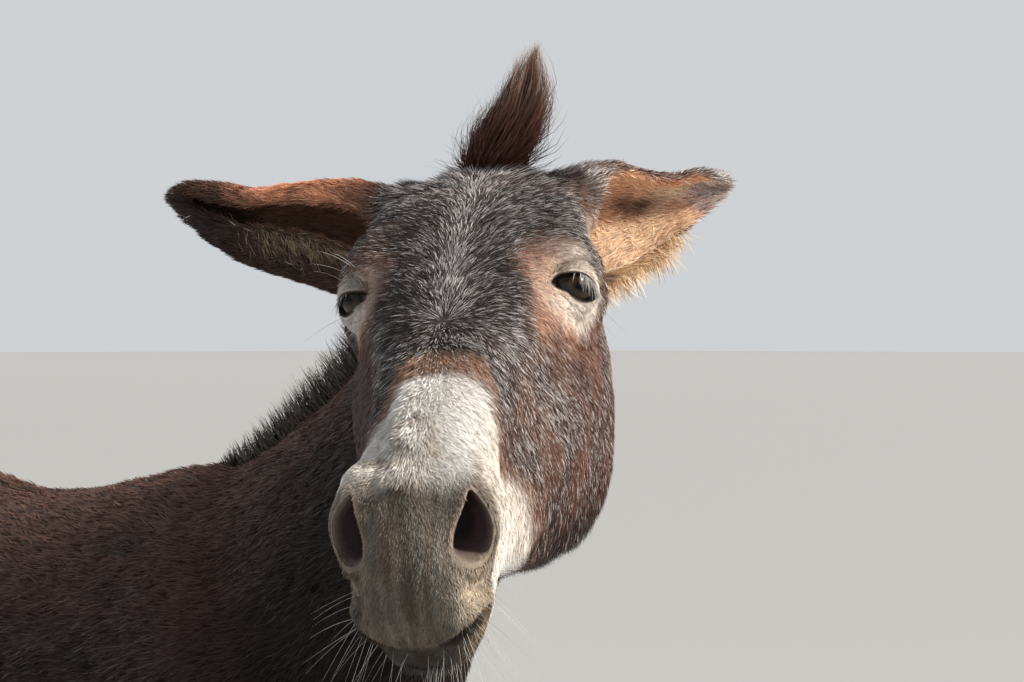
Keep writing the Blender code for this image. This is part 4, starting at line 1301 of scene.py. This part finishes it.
def bumped(tree, shader, source, strength, distance):
    relief = add(tree, "ShaderNodeBump", Strength=strength, Distance=distance)
    tree.links.new(source, relief.inputs["Height"])
    tree.links.new(relief.outputs["Normal"], shader.inputs["Normal"])


coat_hair, tree, shader = new_material("coat_hair", 0.52, 0.20)
tinted(tree, shader, 900.0, 0.12)

skin_short, tree, shader = new_material("short_fur", 0.70, 0.18)
speckle = tinted(tree, shader, 1400.0, 0.30)
bumped(tree, shader, speckle.outputs["Fac"], 0.6, 0.0006)

long_hair, tree, shader = new_material("long_hair", 0.50, 0.28)
tinted(tree, shader, 500.0, 0.15)

whisker, tree, shader = new_material("whisker", 0.35, 0.5)
tinted(tree, shader, 400.0, 0.08)

dressed(skin, skin_short)
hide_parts(*FLESH)

# ---------------------------------------------------------------- the coat's pieces

h = body.head
share = body.shares
a, n = -h[:, 1], h[:, 2]  # down the face, and out of the forehead

# In metres, on the head, neck, trunk, tail, legs and ears.
LENGTHS = (0.0092, 0.019, 0.021, 0.022, 0.018, 0.012)
WIDTHS = (0.00052, 0.0011, 0.0015, 0.0018, 0.0016, 0.0009)
RISES = (0.0034, 0.0055, 0.0060, 0.0045, 0.0038, 0.0034)  # how far the tips stand off the skin
length, width, rise = (
    sum(part * size for part, size in zip(share.T, sizes)) for sizes in (LENGTHS, WIDTHS, RISES)
)
on_muzzle = ramp(a, 0.34, 0.42) * share[:, 0]
length, width = blend(length, 0.0048, on_muzzle), blend(width, 0.00055, on_muzzle)
rise = blend(rise, 0.0009, on_muzzle)
close = ramp(body.eyes, 0.030, 0.006)  # 1 on the lids
length, rise = blend(length, 0.0044, close), blend(rise, 0.0028, close)
on_cheek = ramp(n, -0.025, -0.060) * share[:, 0] * (1 - on_muzzle)
length, width = length * (1 - 0.18 * on_cheek), width * (1 - 0.12 * on_cheek)
rise = rise * (1 - 0.25 * on_cheek)
fluff = bump(h[:, 0], -0.002, 0.015) * ramp(a, 0.365, 0.400) * ramp(a, 0.456, 0.440)
fluff = fluff * ramp(n, -0.030, -0.020) * share[:, 0] * (0.4 + noise(body.points, 0.010, 43))
length, rise = length + 0.0065 * fluff, rise + 0.0035 * fluff
poll = ramp(a, 0.075, 0.015) * ramp(n, -0.060, -0.020) * share[:, 0]
length, rise = length + 0.007 * poll, rise + 0.008 * poll
tuft_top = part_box("tail_tuft")[1].z
low_tail = share[:, 3] * ramp(body.points[:, 2], tuft_top + 0.08, tuft_top + 0.02)
length = length + 0.022 * low_tail
jowl = ramp((body.normals @ HEAD)[:, 2], -0.10, -0.60) * ramp(n, -0.10, -0.18) * share[:, 0]
length, rise = length + 0.016 * jowl, rise + 0.006 * jowl
bare = (body.eyes > 0.0022) & (body.nose > 0.0025) & (body.lips > 0.0025)
crowd = 1.0 + 0.9 * on_muzzle + 0.9 * close


def grow(name, part, weight, count):
    """A piece of the coat, with about so many tufts."""
    where = body.scatter(weight, count)
    tufts(name, part, where, *(body.at(size, where) for size in (length, width, rise)))


own = share.argmax(axis=1)
left = (h[:, 0] > 0).astype(float)
visible = bare * crowd
high = (a < 0.20).astype(float)
on_head = visible * (own == 0)
grow("coat_brow_left", "head", on_head * left * high, 76_000)
grow("coat_brow_right", "head", on_head * (1 - left) * high, 76_000)
grow("coat_face_left", "head", on_head * left * (1 - high), 98_000)
grow("coat_face_right", "head", on_head * (1 - left) * (1 - high), 96_000)
grow("coat_neck", "neck", visible * (own == 1), 66_000)
east = (body.points[:, 0] > SPINE_X).astype(float)
grow("coat_trunk_left", "trunk", (own == 2) * east, 52_000)
grow("coat_trunk_right", "trunk", (own == 2) * (1 - east), 52_000)
grow("coat_legs", "legs", (own == 4) * 1.0, 46_000)
grow("coat_tail", "tail", (own == 3) * 1.0, 8_000)
grow("coat_ears", "ears", (own == 5) * 1.0, 56_000)


def ear_fringe(name, label, low, high, reach, way, length, tint, count, ease=(6, 0.06)):
    """Longer hair from a strip of an ear: from low to high degrees round it, leaning a given way,
    thinning out over the eased degrees and share of the ear's length."""
    side = EARS[label][0]
    axes = np.array(ear_axes(label))
    t, angle, _ = ear_place(h, label)
    turn, slope = ease
    angle = np.where(angle < low - 180, angle + 360, angle)
    strip = ramp(angle, low - turn, low + turn) * ramp(angle, high + turn, high - turn)
    strip *= (h[:, 0] * side > 0) * (share[:, 5] > 0.4)
    strip *= ramp(t, reach[0] - slope, reach[0] + slope) * ramp(t, reach[1] + slope, reach[1] - slope)
    strip *= 0.25 + noise(body.points, 0.008, 41)
    where = body.scatter(strip, count)
    flow = unit((np.array(way) @ axes) @ HEAD.T)[None] + rng.normal(0, 0.16, (len(where[0]), 3))
    flow = unit(flow)
    normal = unit(body.at(body.normals, where))
    lean = (flow * normal).sum(1)
    along = unit(flow - normal * lean[:, None])
    lean = np.clip(lean, 0.10, 0.90)
    long = length * rng.uniform(0.35, 1.25, len(flow))
    hairs = np.array(tint) * rng.uniform(0.45, 1.15, len(flow))[:, None]
    thin = np.full(len(flow), 0.0007)
    tufts(name, "ears", where, long * np.sqrt(1 - lean**2), thin, long * lean, along, hairs)


# Along the lower edge of each ear hangs longer, paler hair; the way is along, up and out of the ear.
# the left ear's long hair is painted pale and bright: partly its own colour, partly painted light
# shining through it
ear_fringe(
    "ear_fringe_left", "left", -112, -38, (0.05, 0.66), (0.10, -0.75, 0.50), 0.025,
    (0.90, 0.60, 0.36), 5_000,
)  # fmt: skip
ear_fringe(
    "ear_lining_left", "left", -62, -20, (0.04, 0.60), (0.42, -0.80, 0.30), 0.024,
    (0.82, 0.55, 0.33), 4_600, (16, 0.08),
)  # fmt: skip
ear_fringe(
    "ear_fringe_right", "right", 146, 172, (0.10, 0.50), (-0.70, -0.55, 0.12), 0.018,
    (0.300, 0.215, 0.135), 4_200, (14, 0.18),
)  # fmt: skip

# ---------------------------------------------------------------- mane, forelock and tail tuft

skin_tree = BVHTree.FromPolygons([Vector(p) for p in body.points.tolist()], body.corners.tolist())


def surface_samples(node, count):
    """Points spread evenly over a node."""
    mesh = NODES[node].data
    points, corners = positions(mesh), triangles(mesh)
    matrix = np.array(NODES[node].matrix_world)
    points = points @ matrix[:3, :3].T + matrix[:3, 3]
    p = points[corners]
    area = np.linalg.norm(np.cross(p[:, 1] - p[:, 0], p[:, 2] - p[:, 0]), axis=1)
    rows = rng.choice(len(area), count, p=area / area.sum())
    u, v = rng.random(count), rng.random(count)
    u, v = np.where(u + v > 1, 1 - u, u), np.where(u + v > 1, 1 - v, v)
    first, second, third = p[rows].transpose(1, 0, 2)
    return first + u[:, None] * (second - first) + v[:, None] * (third - first)


def nearest_skin(points):
    return np.array([skin_tree.find_nearest(p)[0] for p in points.tolist()])


def mane_hair(count):
    """Stiff hairs from the skin's nearest points up to the surface of the mane."""
    tips = surface_samples("mane", count)
    roots = nearest_skin(tips)
    rise = tips - roots
    tall = np.linalg.norm(rise, axis=1)
    keep = tall > 0.010
    tips, roots, rise, tall = tips[keep], roots[keep], rise[keep], tall[keep]
    count = len(tips)
    t = np.linspace(0, 1, 5)
    wave = (noise(roots, 0.020, 21) - 0.5)[:, None] * np.array((0.010, 0.0, 0.0))
    back = np.array((0.15, 0.90, -0.20)) * (tall * rng.normal(0.10, 0.16, count))[:, None]
    sway = wave + back + rng.normal(0, 0.0022, (count, 3))
    reach = rng.uniform(0.72, 1.02, count) * (0.86 + 0.22 * noise(roots, 0.012, 22))
    paths = roots[:, None] - unit(rise)[:, None] * 0.002
    paths = paths + rise[:, None] * (reach[:, None] * t)[..., None]
    paths = paths + sway[:, None] * (t**2)[None, :, None]
    shade = rng.uniform(0.6, 1.4, count)[:, None]
    root_tint = DARK * 0.8 * shade
    tip_tint = blend(root_tint, (0.270, 0.225, 0.190), rng.uniform(0.05, 0.9, count) ** 1.4)
    tints, width = np.stack([root_tint, tip_tint], 1), np.full(count, 0.0014)
    obj = locks("mane_hair", "neck", paths, width, tints, long_hair)
    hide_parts("mane")


def tuft_spine(node, axis, slices, fullness):
    """The middle and the half widths of a tuft at places along it, from its root to its end."""
    cloud = surface_samples(node, 6000)
    along = cloud @ axis
    low, high = along.min(), along.max()
    places = np.linspace(low, high, slices)
    middles, spans = [], []
    for place in places:
        near = np.abs(along - place) < (high - low) / slices
        middles.append(cloud[near].mean(axis=0))
        spans.append(cloud[near].std(axis=0) * fullness)
    middles = np.array(middles)
    middles += axis * (places - middles @ axis)[:, None]
    return middles, np.array(spans)


def tuft_hair(name, node, part, axis, count, steps, width, colours, loose, short, fullness):
    """A tuft of long hairs inside and round a node, a share of them short and ragged."""
    middles, spans = tuft_spine(node, np.array(axis, float), 12, fullness)
    t = np.linspace(0, 1, steps)
    place = rng.normal(size=(count, 3))
    place = place / np.linalg.norm(place, axis=1, keepdims=True) * rng.random((count, 1)) ** 0.45
    ends = rng.uniform(0.30, 1.0, count) ** 0.75
    brief = rng.random(count) < short
    ends = np.where(brief, rng.uniform(0.12, 0.65, count), ends)
    slack = loose * np.where(brief, 1.5, 1.0) * rng.uniform(0.4, 1.5, count)
    paths = np.zeros((count, steps, 3))
    for c in range(3):
        for k in range(steps):
            at = ends * t[k] * (len(middles) - 1)
            centre = np.interp(at, np.arange(len(middles)), middles[:, c])
            span = np.interp(at, np.arange(len(middles)), spans[:, c])
            paths[:, k, c] = centre + place[:, c] * span * (1 + slack * t[k] ** 2)
    for k in range(steps):
        for c in (0, 1):
            bend = noise(paths[:, 0] + t[k] * 0.03, 0.014, 31 + c) - 0.5
            paths[:, k, c] += (bend * 0.024 + rng.normal(0, 0.0011, count)) * t[k]
    shade = rng.uniform(0.6, 1.4, count)[:, None]
    root_tint = colours[0] * shade
    tip_tint = blend(root_tint, colours[1] * shade, rng.uniform(0.3, 1.0, count))
    far = ramp(ends * rng.uniform(0.85, 1.1, count), 0.72, 1.0)
    tip_tint = blend(tip_tint, colours[2] * shade, far)
    tints = np.stack([root_tint, tip_tint], 1)
    obj = locks(name, part, paths, np.full(count, width), tints, long_hair)
    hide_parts(node)


mane_hair(11_000)
forelock_tints = np.array(((0.064, 0.025, 0.020), (0.200, 0.078, 0.052), (0.420, 0.270, 0.180)))
tuft_hair(
    "forelock_hair", "forelock", "head", (0, 0, 1), 4600, 8, 0.0008, forelock_tints,
    loose=0.75, short=0.45, fullness=1.10,
)  # fmt: skip
tail_tints = np.array((DARK, (0.060, 0.036, 0.028), (0.060, 0.036, 0.028)))
tuft_hair(
    "tail_hair", "tail_tuft", "tail", (0, 0, -1), 3000, 12, 0.0018, tail_tints,
    loose=0.20, short=0.08, fullness=1.35,
)  # fmt: skip

# ---------------------------------------------------------------- whiskers and lashes


def kept_in(roots, ways, lengths):
    """Shortens the hairs that would reach too far past the box of the solids."""
    low, high = (np.array(corner) for corner in CAD_BOX)
    room = 0.03 * (high - low) + 0.006
    past = np.where(ways > 0, high + room - roots, roots - low + room)
    return np.minimum(lengths, (past / np.maximum(np.abs(ways), 1e-6)).min(axis=1))


def whiskers(name, roots, ways, lengths, droop, width, tint, steps=7):
    lengths = kept_in(roots, ways, lengths)
    t = np.linspace(0, 1, steps)
    paths = roots[:, None] + ways[:, None] * (lengths[:, None] * t)[..., None]
    paths[..., 2] -= (lengths * droop)[:, None] * t[None] ** 2
    locks(name, "head", paths, width, np.stack([tint * 0.8, tint], 1), whisker, sides=3)


def muzzle_whiskers():
    """Pale whiskers on the lips and the chin, most of them on the left."""
    beard = share[:, 0] * ramp(a, 0.44, 0.48) * (body.nose > 0.012) * (body.lips > 0.003)
    beard = beard * (ramp(body.lips, 0.045, 0.020) + ramp(n, -0.10, -0.13) + 0.25)
    beard = beard * (0.08 + ramp(np.abs(h[:, 0]), 0.020, 0.038) + ramp(n, -0.110, -0.135))
    beard = beard * np.where(h[:, 0] > 0, 1.0, 0.35) * ramp(n, -0.050, -0.075)
    where = body.scatter(beard, 92)
    roots, normal = body.at(body.points, where), unit(body.at(body.normals, where))
    count = len(roots)
    ways = normal + rng.normal(0, 0.22, (count, 3)) + np.array((0, 0, -0.25))
    ways += 0.25 * (np.array((0.0, -0.6, -0.3)) @ HEAD.T)
    white = np.array((0.80, 0.78, 0.74)) * rng.uniform(0.7, 1.1, count)[:, None]
    lengths, droop = rng.uniform(0.020, 0.056, count), rng.uniform(0.05, 0.30, count)
    width = rng.uniform(0.00020, 0.00031, count)
    whiskers("whiskers", roots - normal * 0.001, unit(ways), lengths, droop, width, white)


LASH_TINT = np.array((0.62, 0.58, 0.56))
LONG_TINT = np.array((0.70, 0.68, 0.65))  # of the long hairs round the eyes
LASH_WIDTH, LASH_DROOP = 0.00042, 0.22


def lashes():
    """Lashes along each upper lid, and a few long hairs round each eye."""
    hairs = []
    for side in (1, -1):
        count, size, shade = (90, 1.0, 1.0) if side > 0 else (30, 0.6, 0.35)
        centre, across, up, out = eye_axes(side)
        edge = closed_curve(lid_edge(side), 120)
        edge = edge[(edge[:, 1] > -0.001) & (edge[:, 0] < 0.0085) & (edge[:, 0] > -0.0130)]
        edge = edge[np.argsort(-edge[:, 0])]
        for _ in range(count):
            outward = rng.random() ** 0.50
            x, y = edge[int(outward * (len(edge) - 1))] * (1.02, 1.05)
            height = math.sqrt(max((EYE_RADIUS + LID_THICK) ** 2 - x * x - y * y, 1e-6))
            root = centre + across * x + up * y + out * height
            way = out * 0.55 - up * rng.uniform(0.8, 1.1) + across * (0.95 - 1.15 * outward)
            way = unit(way + rng.normal(0, 0.15, 3))
            long = rng.uniform(0.007, 0.011 + 0.009 * outward) * size
            hairs.append((root, way, long, LASH_TINT * rng.uniform(0.30, 1.35) * shade))
        for k in range(7):
            angle = rng.uniform(-2.6, -1.2) if k % 2 else rng.uniform(0.8, 2.6)
            x, y = 0.027 * math.cos(angle), 0.023 * math.sin(angle)
            place = from_head((centre + across * x + up * y + out * 0.014)[None])
            way = out + 0.8 * (across * math.cos(angle) + up * math.sin(angle))
            way = unit(way + rng.normal(0, 0.2, 3))
            hairs.append((to_head(nearest_skin(place))[0], way, rng.uniform(0.028, 0.050), LONG_TINT))
    roots, ways, lengths, tints = (np.array(column) for column in zip(*hairs))
    droop, width = np.full(len(roots), LASH_DROOP), np.full(len(roots), LASH_WIDTH)
    whiskers("lashes", from_head(roots), ways @ HEAD.T, lengths, droop, width, tints, 6)


muzzle_whiskers()
lashes()

# ---------------------------------------------------------------- eyes


def make_eye(side, label):
    """A ball with a clear bulge in front. Its own x runs along the eye and its own z out of it."""
    centre, forward, _, facing = eye_axes(side)
    rings, spokes = 28, 48
    theta = np.linspace(0, math.pi, rings)
    phi = np.linspace(0, 2 * math.pi, spokes, endpoint=False)
    t, p = np.meshgrid(theta, phi, indexing="ij")
    radius = EYE_RADIUS - 0.0006 + 0.0010 * np.exp(-((t / 0.55) ** 4))
    local = np.stack([np.sin(t) * np.cos(p), np.sin(t) * np.sin(p), np.cos(t)], -1)
    local = local * radius[..., None]
    faces = []
    for i in range(rings - 1):
        for j in range(spokes):
            k = (j + 1) % spokes
            row, below = i * spokes, (i + 1) * spokes
            faces.append((row + j, below + j, below + k, row + k))
    mesh = mesh_from("eyeball_" + label, local.reshape(-1, 3), np.array(faces), 4)
    obj = new_object("eyeball_" + label, mesh)
    axes = np.stack([forward, np.cross(facing, forward), facing], 1)
    matrix = np.block([[HEAD @ axes, from_head(centre[None]).T], [np.zeros((1, 3)), 1]])
    obj.matrix_world = Matrix(matrix.tolist())
    return obj


eye_wet, tree, shader = new_material("eye_wet", 0.08, 0.5, IOR=1.38)
where = add(tree, "ShaderNodeTexCoord")
axes = add(tree, "ShaderNodeSeparateXYZ")
tree.links.new(where.outputs["Object"], axes.inputs[0])


def maths(tree, operation, a, b=None):
    node = add(tree, "ShaderNodeMath", operation=operation)
    for socket, value in zip(node.inputs, (a, b)):
        if value is None:
            continue
        if isinstance(value, (int, float)):
            socket.default_value = value
        else:
            tree.links.new(value, socket)
    return node.outputs[0]


def oval(tree, axes, wide, high):
    """How far a place is from the middle of an oval: 0 there, and 1 on its outline."""
    x = maths(tree, "DIVIDE", axes.outputs[0], wide)
    y = maths(tree, "DIVIDE", axes.outputs[1], high)
    x, y = maths(tree, "MULTIPLY", x, x), maths(tree, "MULTIPLY", y, y)
    return maths(tree, "SQRT", maths(tree, "ADD", x, y))


pupil, iris = oval(tree, axes, 0.0078, 0.0042), oval(tree, axes, 0.0150, 0.0130)
colours = shades(
    tree, iris, (0.0, (0.020, 0.013, 0.007)), (1.0, (0.040, 0.024, 0.017)),
    (0.70, (0.040, 0.026, 0.013)), (0.88, (0.007, 0.004, 0.003)), (0.96, (0.030, 0.018, 0.012)),
)  # fmt: skip
dark = add(tree, "ShaderNodeMapRange", From_Min=0.85, From_Max=1.10)
tree.links.new(pupil, dark.inputs["Value"])
shade = add(tree, "ShaderNodeVectorMath", operation="SCALE")
tree.links.new(colours, shade.inputs[0])
tree.links.new(dark.outputs[0], shade.inputs["Scale"])
tree.links.new(shade.outputs[0], shader.inputs["Base Color"])
for side, label in ((1, "left"), (-1, "right")):
    ball = make_eye(side, label)
    ball.data.materials.append(eye_wet)
    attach(ball, "root")
    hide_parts("eye_" + label)

# ---------------------------------------------------------------- hooves

horn, tree, shader = new_material("hoof_horn", 0.55, 0.35)
where = add(tree, "ShaderNodeTexCoord")
stretch = add(tree, "ShaderNodeMapping", Scale=(18.0, 18.0, 260.0))
tree.links.new(where.outputs["Object"], stretch.inputs["Vector"])
rings = add(tree, "ShaderNodeTexNoise", Scale=1.0, Detail=2.0)
tree.links.new(stretch.outputs[0], rings.inputs["Vector"])
colours = shades(
    tree, rings.outputs["Fac"], (0.25, (0.030, 0.025, 0.021)), (0.80, (0.105, 0.088, 0.072))
)
tree.links.new(colours, shader.inputs["Base Color"])
bumped(tree, shader, rings.outputs["Fac"], 0.5, 0.0010)


def make_hoof(node):
    """The node's hoof with its edges rounded, flat on the floor."""
    mesh = NODES[node].data.copy()
    mesh.transform(NODES[node].matrix_world)
    obj = new_object(node + "_horn", mesh)
    remesh = obj.modifiers.new("Remesh", "REMESH")
    remesh.mode, remesh.voxel_size = "VOXEL", 0.0024
    smooth = obj.modifiers.new("Smooth", "SMOOTH")
    smooth.factor, smooth.iterations = 0.5, 9
    applied(obj)
    points = positions(obj.data)
    points[:, 2] -= points[:, 2].min()
    set_positions(obj.data, points)
    obj.data.polygons.foreach_set("use_smooth", np.ones(len(obj.data.polygons), bool))
    dressed(obj, horn)
    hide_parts(node)


for node in sorted(name for name in NODES if name.startswith("hoof_")):
    make_hoof(node)

# ---------------------------------------------------------------- stage, light and camera

FLOOR = 200.0  # metres from the middle to each side
floor_material, tree, shader = new_material("pale_floor", 0.8, 0.2)
grain = add(tree, "ShaderNodeTexNoise", Scale=3.0, Detail=4.0)
colours = shades(
    tree, grain.outputs["Fac"], (0.0, (0.42, 0.42, 0.415)), (1.0, (0.45, 0.45, 0.445))
)
tree.links.new(colours, shader.inputs["Base Color"])
corners = np.array(((-1, -1, 0), (1, -1, 0), (1, 1, 0), (-1, 1, 0)), float) * FLOOR
floor = new_object("floor", mesh_from("floor", corners, np.arange(4), 4))
floor.data.materials.append(floor_material)

world = bpy.data.worlds.new("studio")
bpy.context.scene.world = world
world.use_nodes = True
tree = world.node_tree
sky = tree.nodes["Background"]
sky.inputs["Color"].default_value = (0.80, 0.86, 0.95, 1)
sky.inputs["Strength"].default_value = 0.30
backdrop = add(tree, "ShaderNodeBackground", Color=(0.62, 0.64, 0.66, 1), Strength=1.0)
seen = add(tree, "ShaderNodeLightPath")
choice = add(tree, "ShaderNodeMixShader")
tree.links.new(seen.outputs["Is Camera Ray"], choice.inputs[0])
tree.links.new(sky.outputs[0], choice.inputs[1])
tree.links.new(backdrop.outputs[0], choice.inputs[2])
tree.links.new(choice.outputs[0], tree.nodes["World Output"].inputs["Surface"])


def lamp(name, towards, distance, size, power, colour):
    """A round lamp that stands so far off in a direction and points back at the head."""
    light = bpy.data.lights.new(name, "AREA")
    light.shape, light.size, light.energy, light.color = "DISK", size, power, colour
    obj = bpy.data.objects.new(name, light)
    bpy.context.scene.collection.objects.link(obj)
    away = Vector(towards).normalized()
    obj.location = Vector((0.0, -0.5, 1.1)) + away * distance
    obj.rotation_euler = away.to_track_quat("Z", "Y").to_euler()


lamp("fill", (-0.75, -0.65, 0.25), 5.0, 3.0, 14, (0.86, 0.92, 1.0))
lamp("back", (-0.5, 0.9, 0.6), 5.0, 2.0, 70, (1.0, 0.97, 0.92))
sun = bpy.data.lights.new("key", "SUN")
sun.energy, sun.angle, sun.color = 6.0, math.radians(9), (1.0, 0.95, 0.88)
key = bpy.data.objects.new("key", sun)
bpy.context.scene.collection.objects.link(key)
key.rotation_euler = Vector((0.509, -0.622, 0.59)).to_track_quat("Z", "Y").to_euler()
bpy.context.scene.view_settings.view_transform = "Standard"

camera = bpy.data.cameras.new("camera")
camera.lens, camera.sensor_width = 73.83, 36.0
camera.clip_start, camera.clip_end = 0.05, 600
viewer = bpy.data.objects.new("camera", camera)
bpy.context.scene.collection.objects.link(viewer)
viewer.location = (-1.1991, -1.8273, 1.225)
viewer.rotation_euler = (math.radians(90), 0, math.radians(-45))
bpy.context.scene.camera = viewer
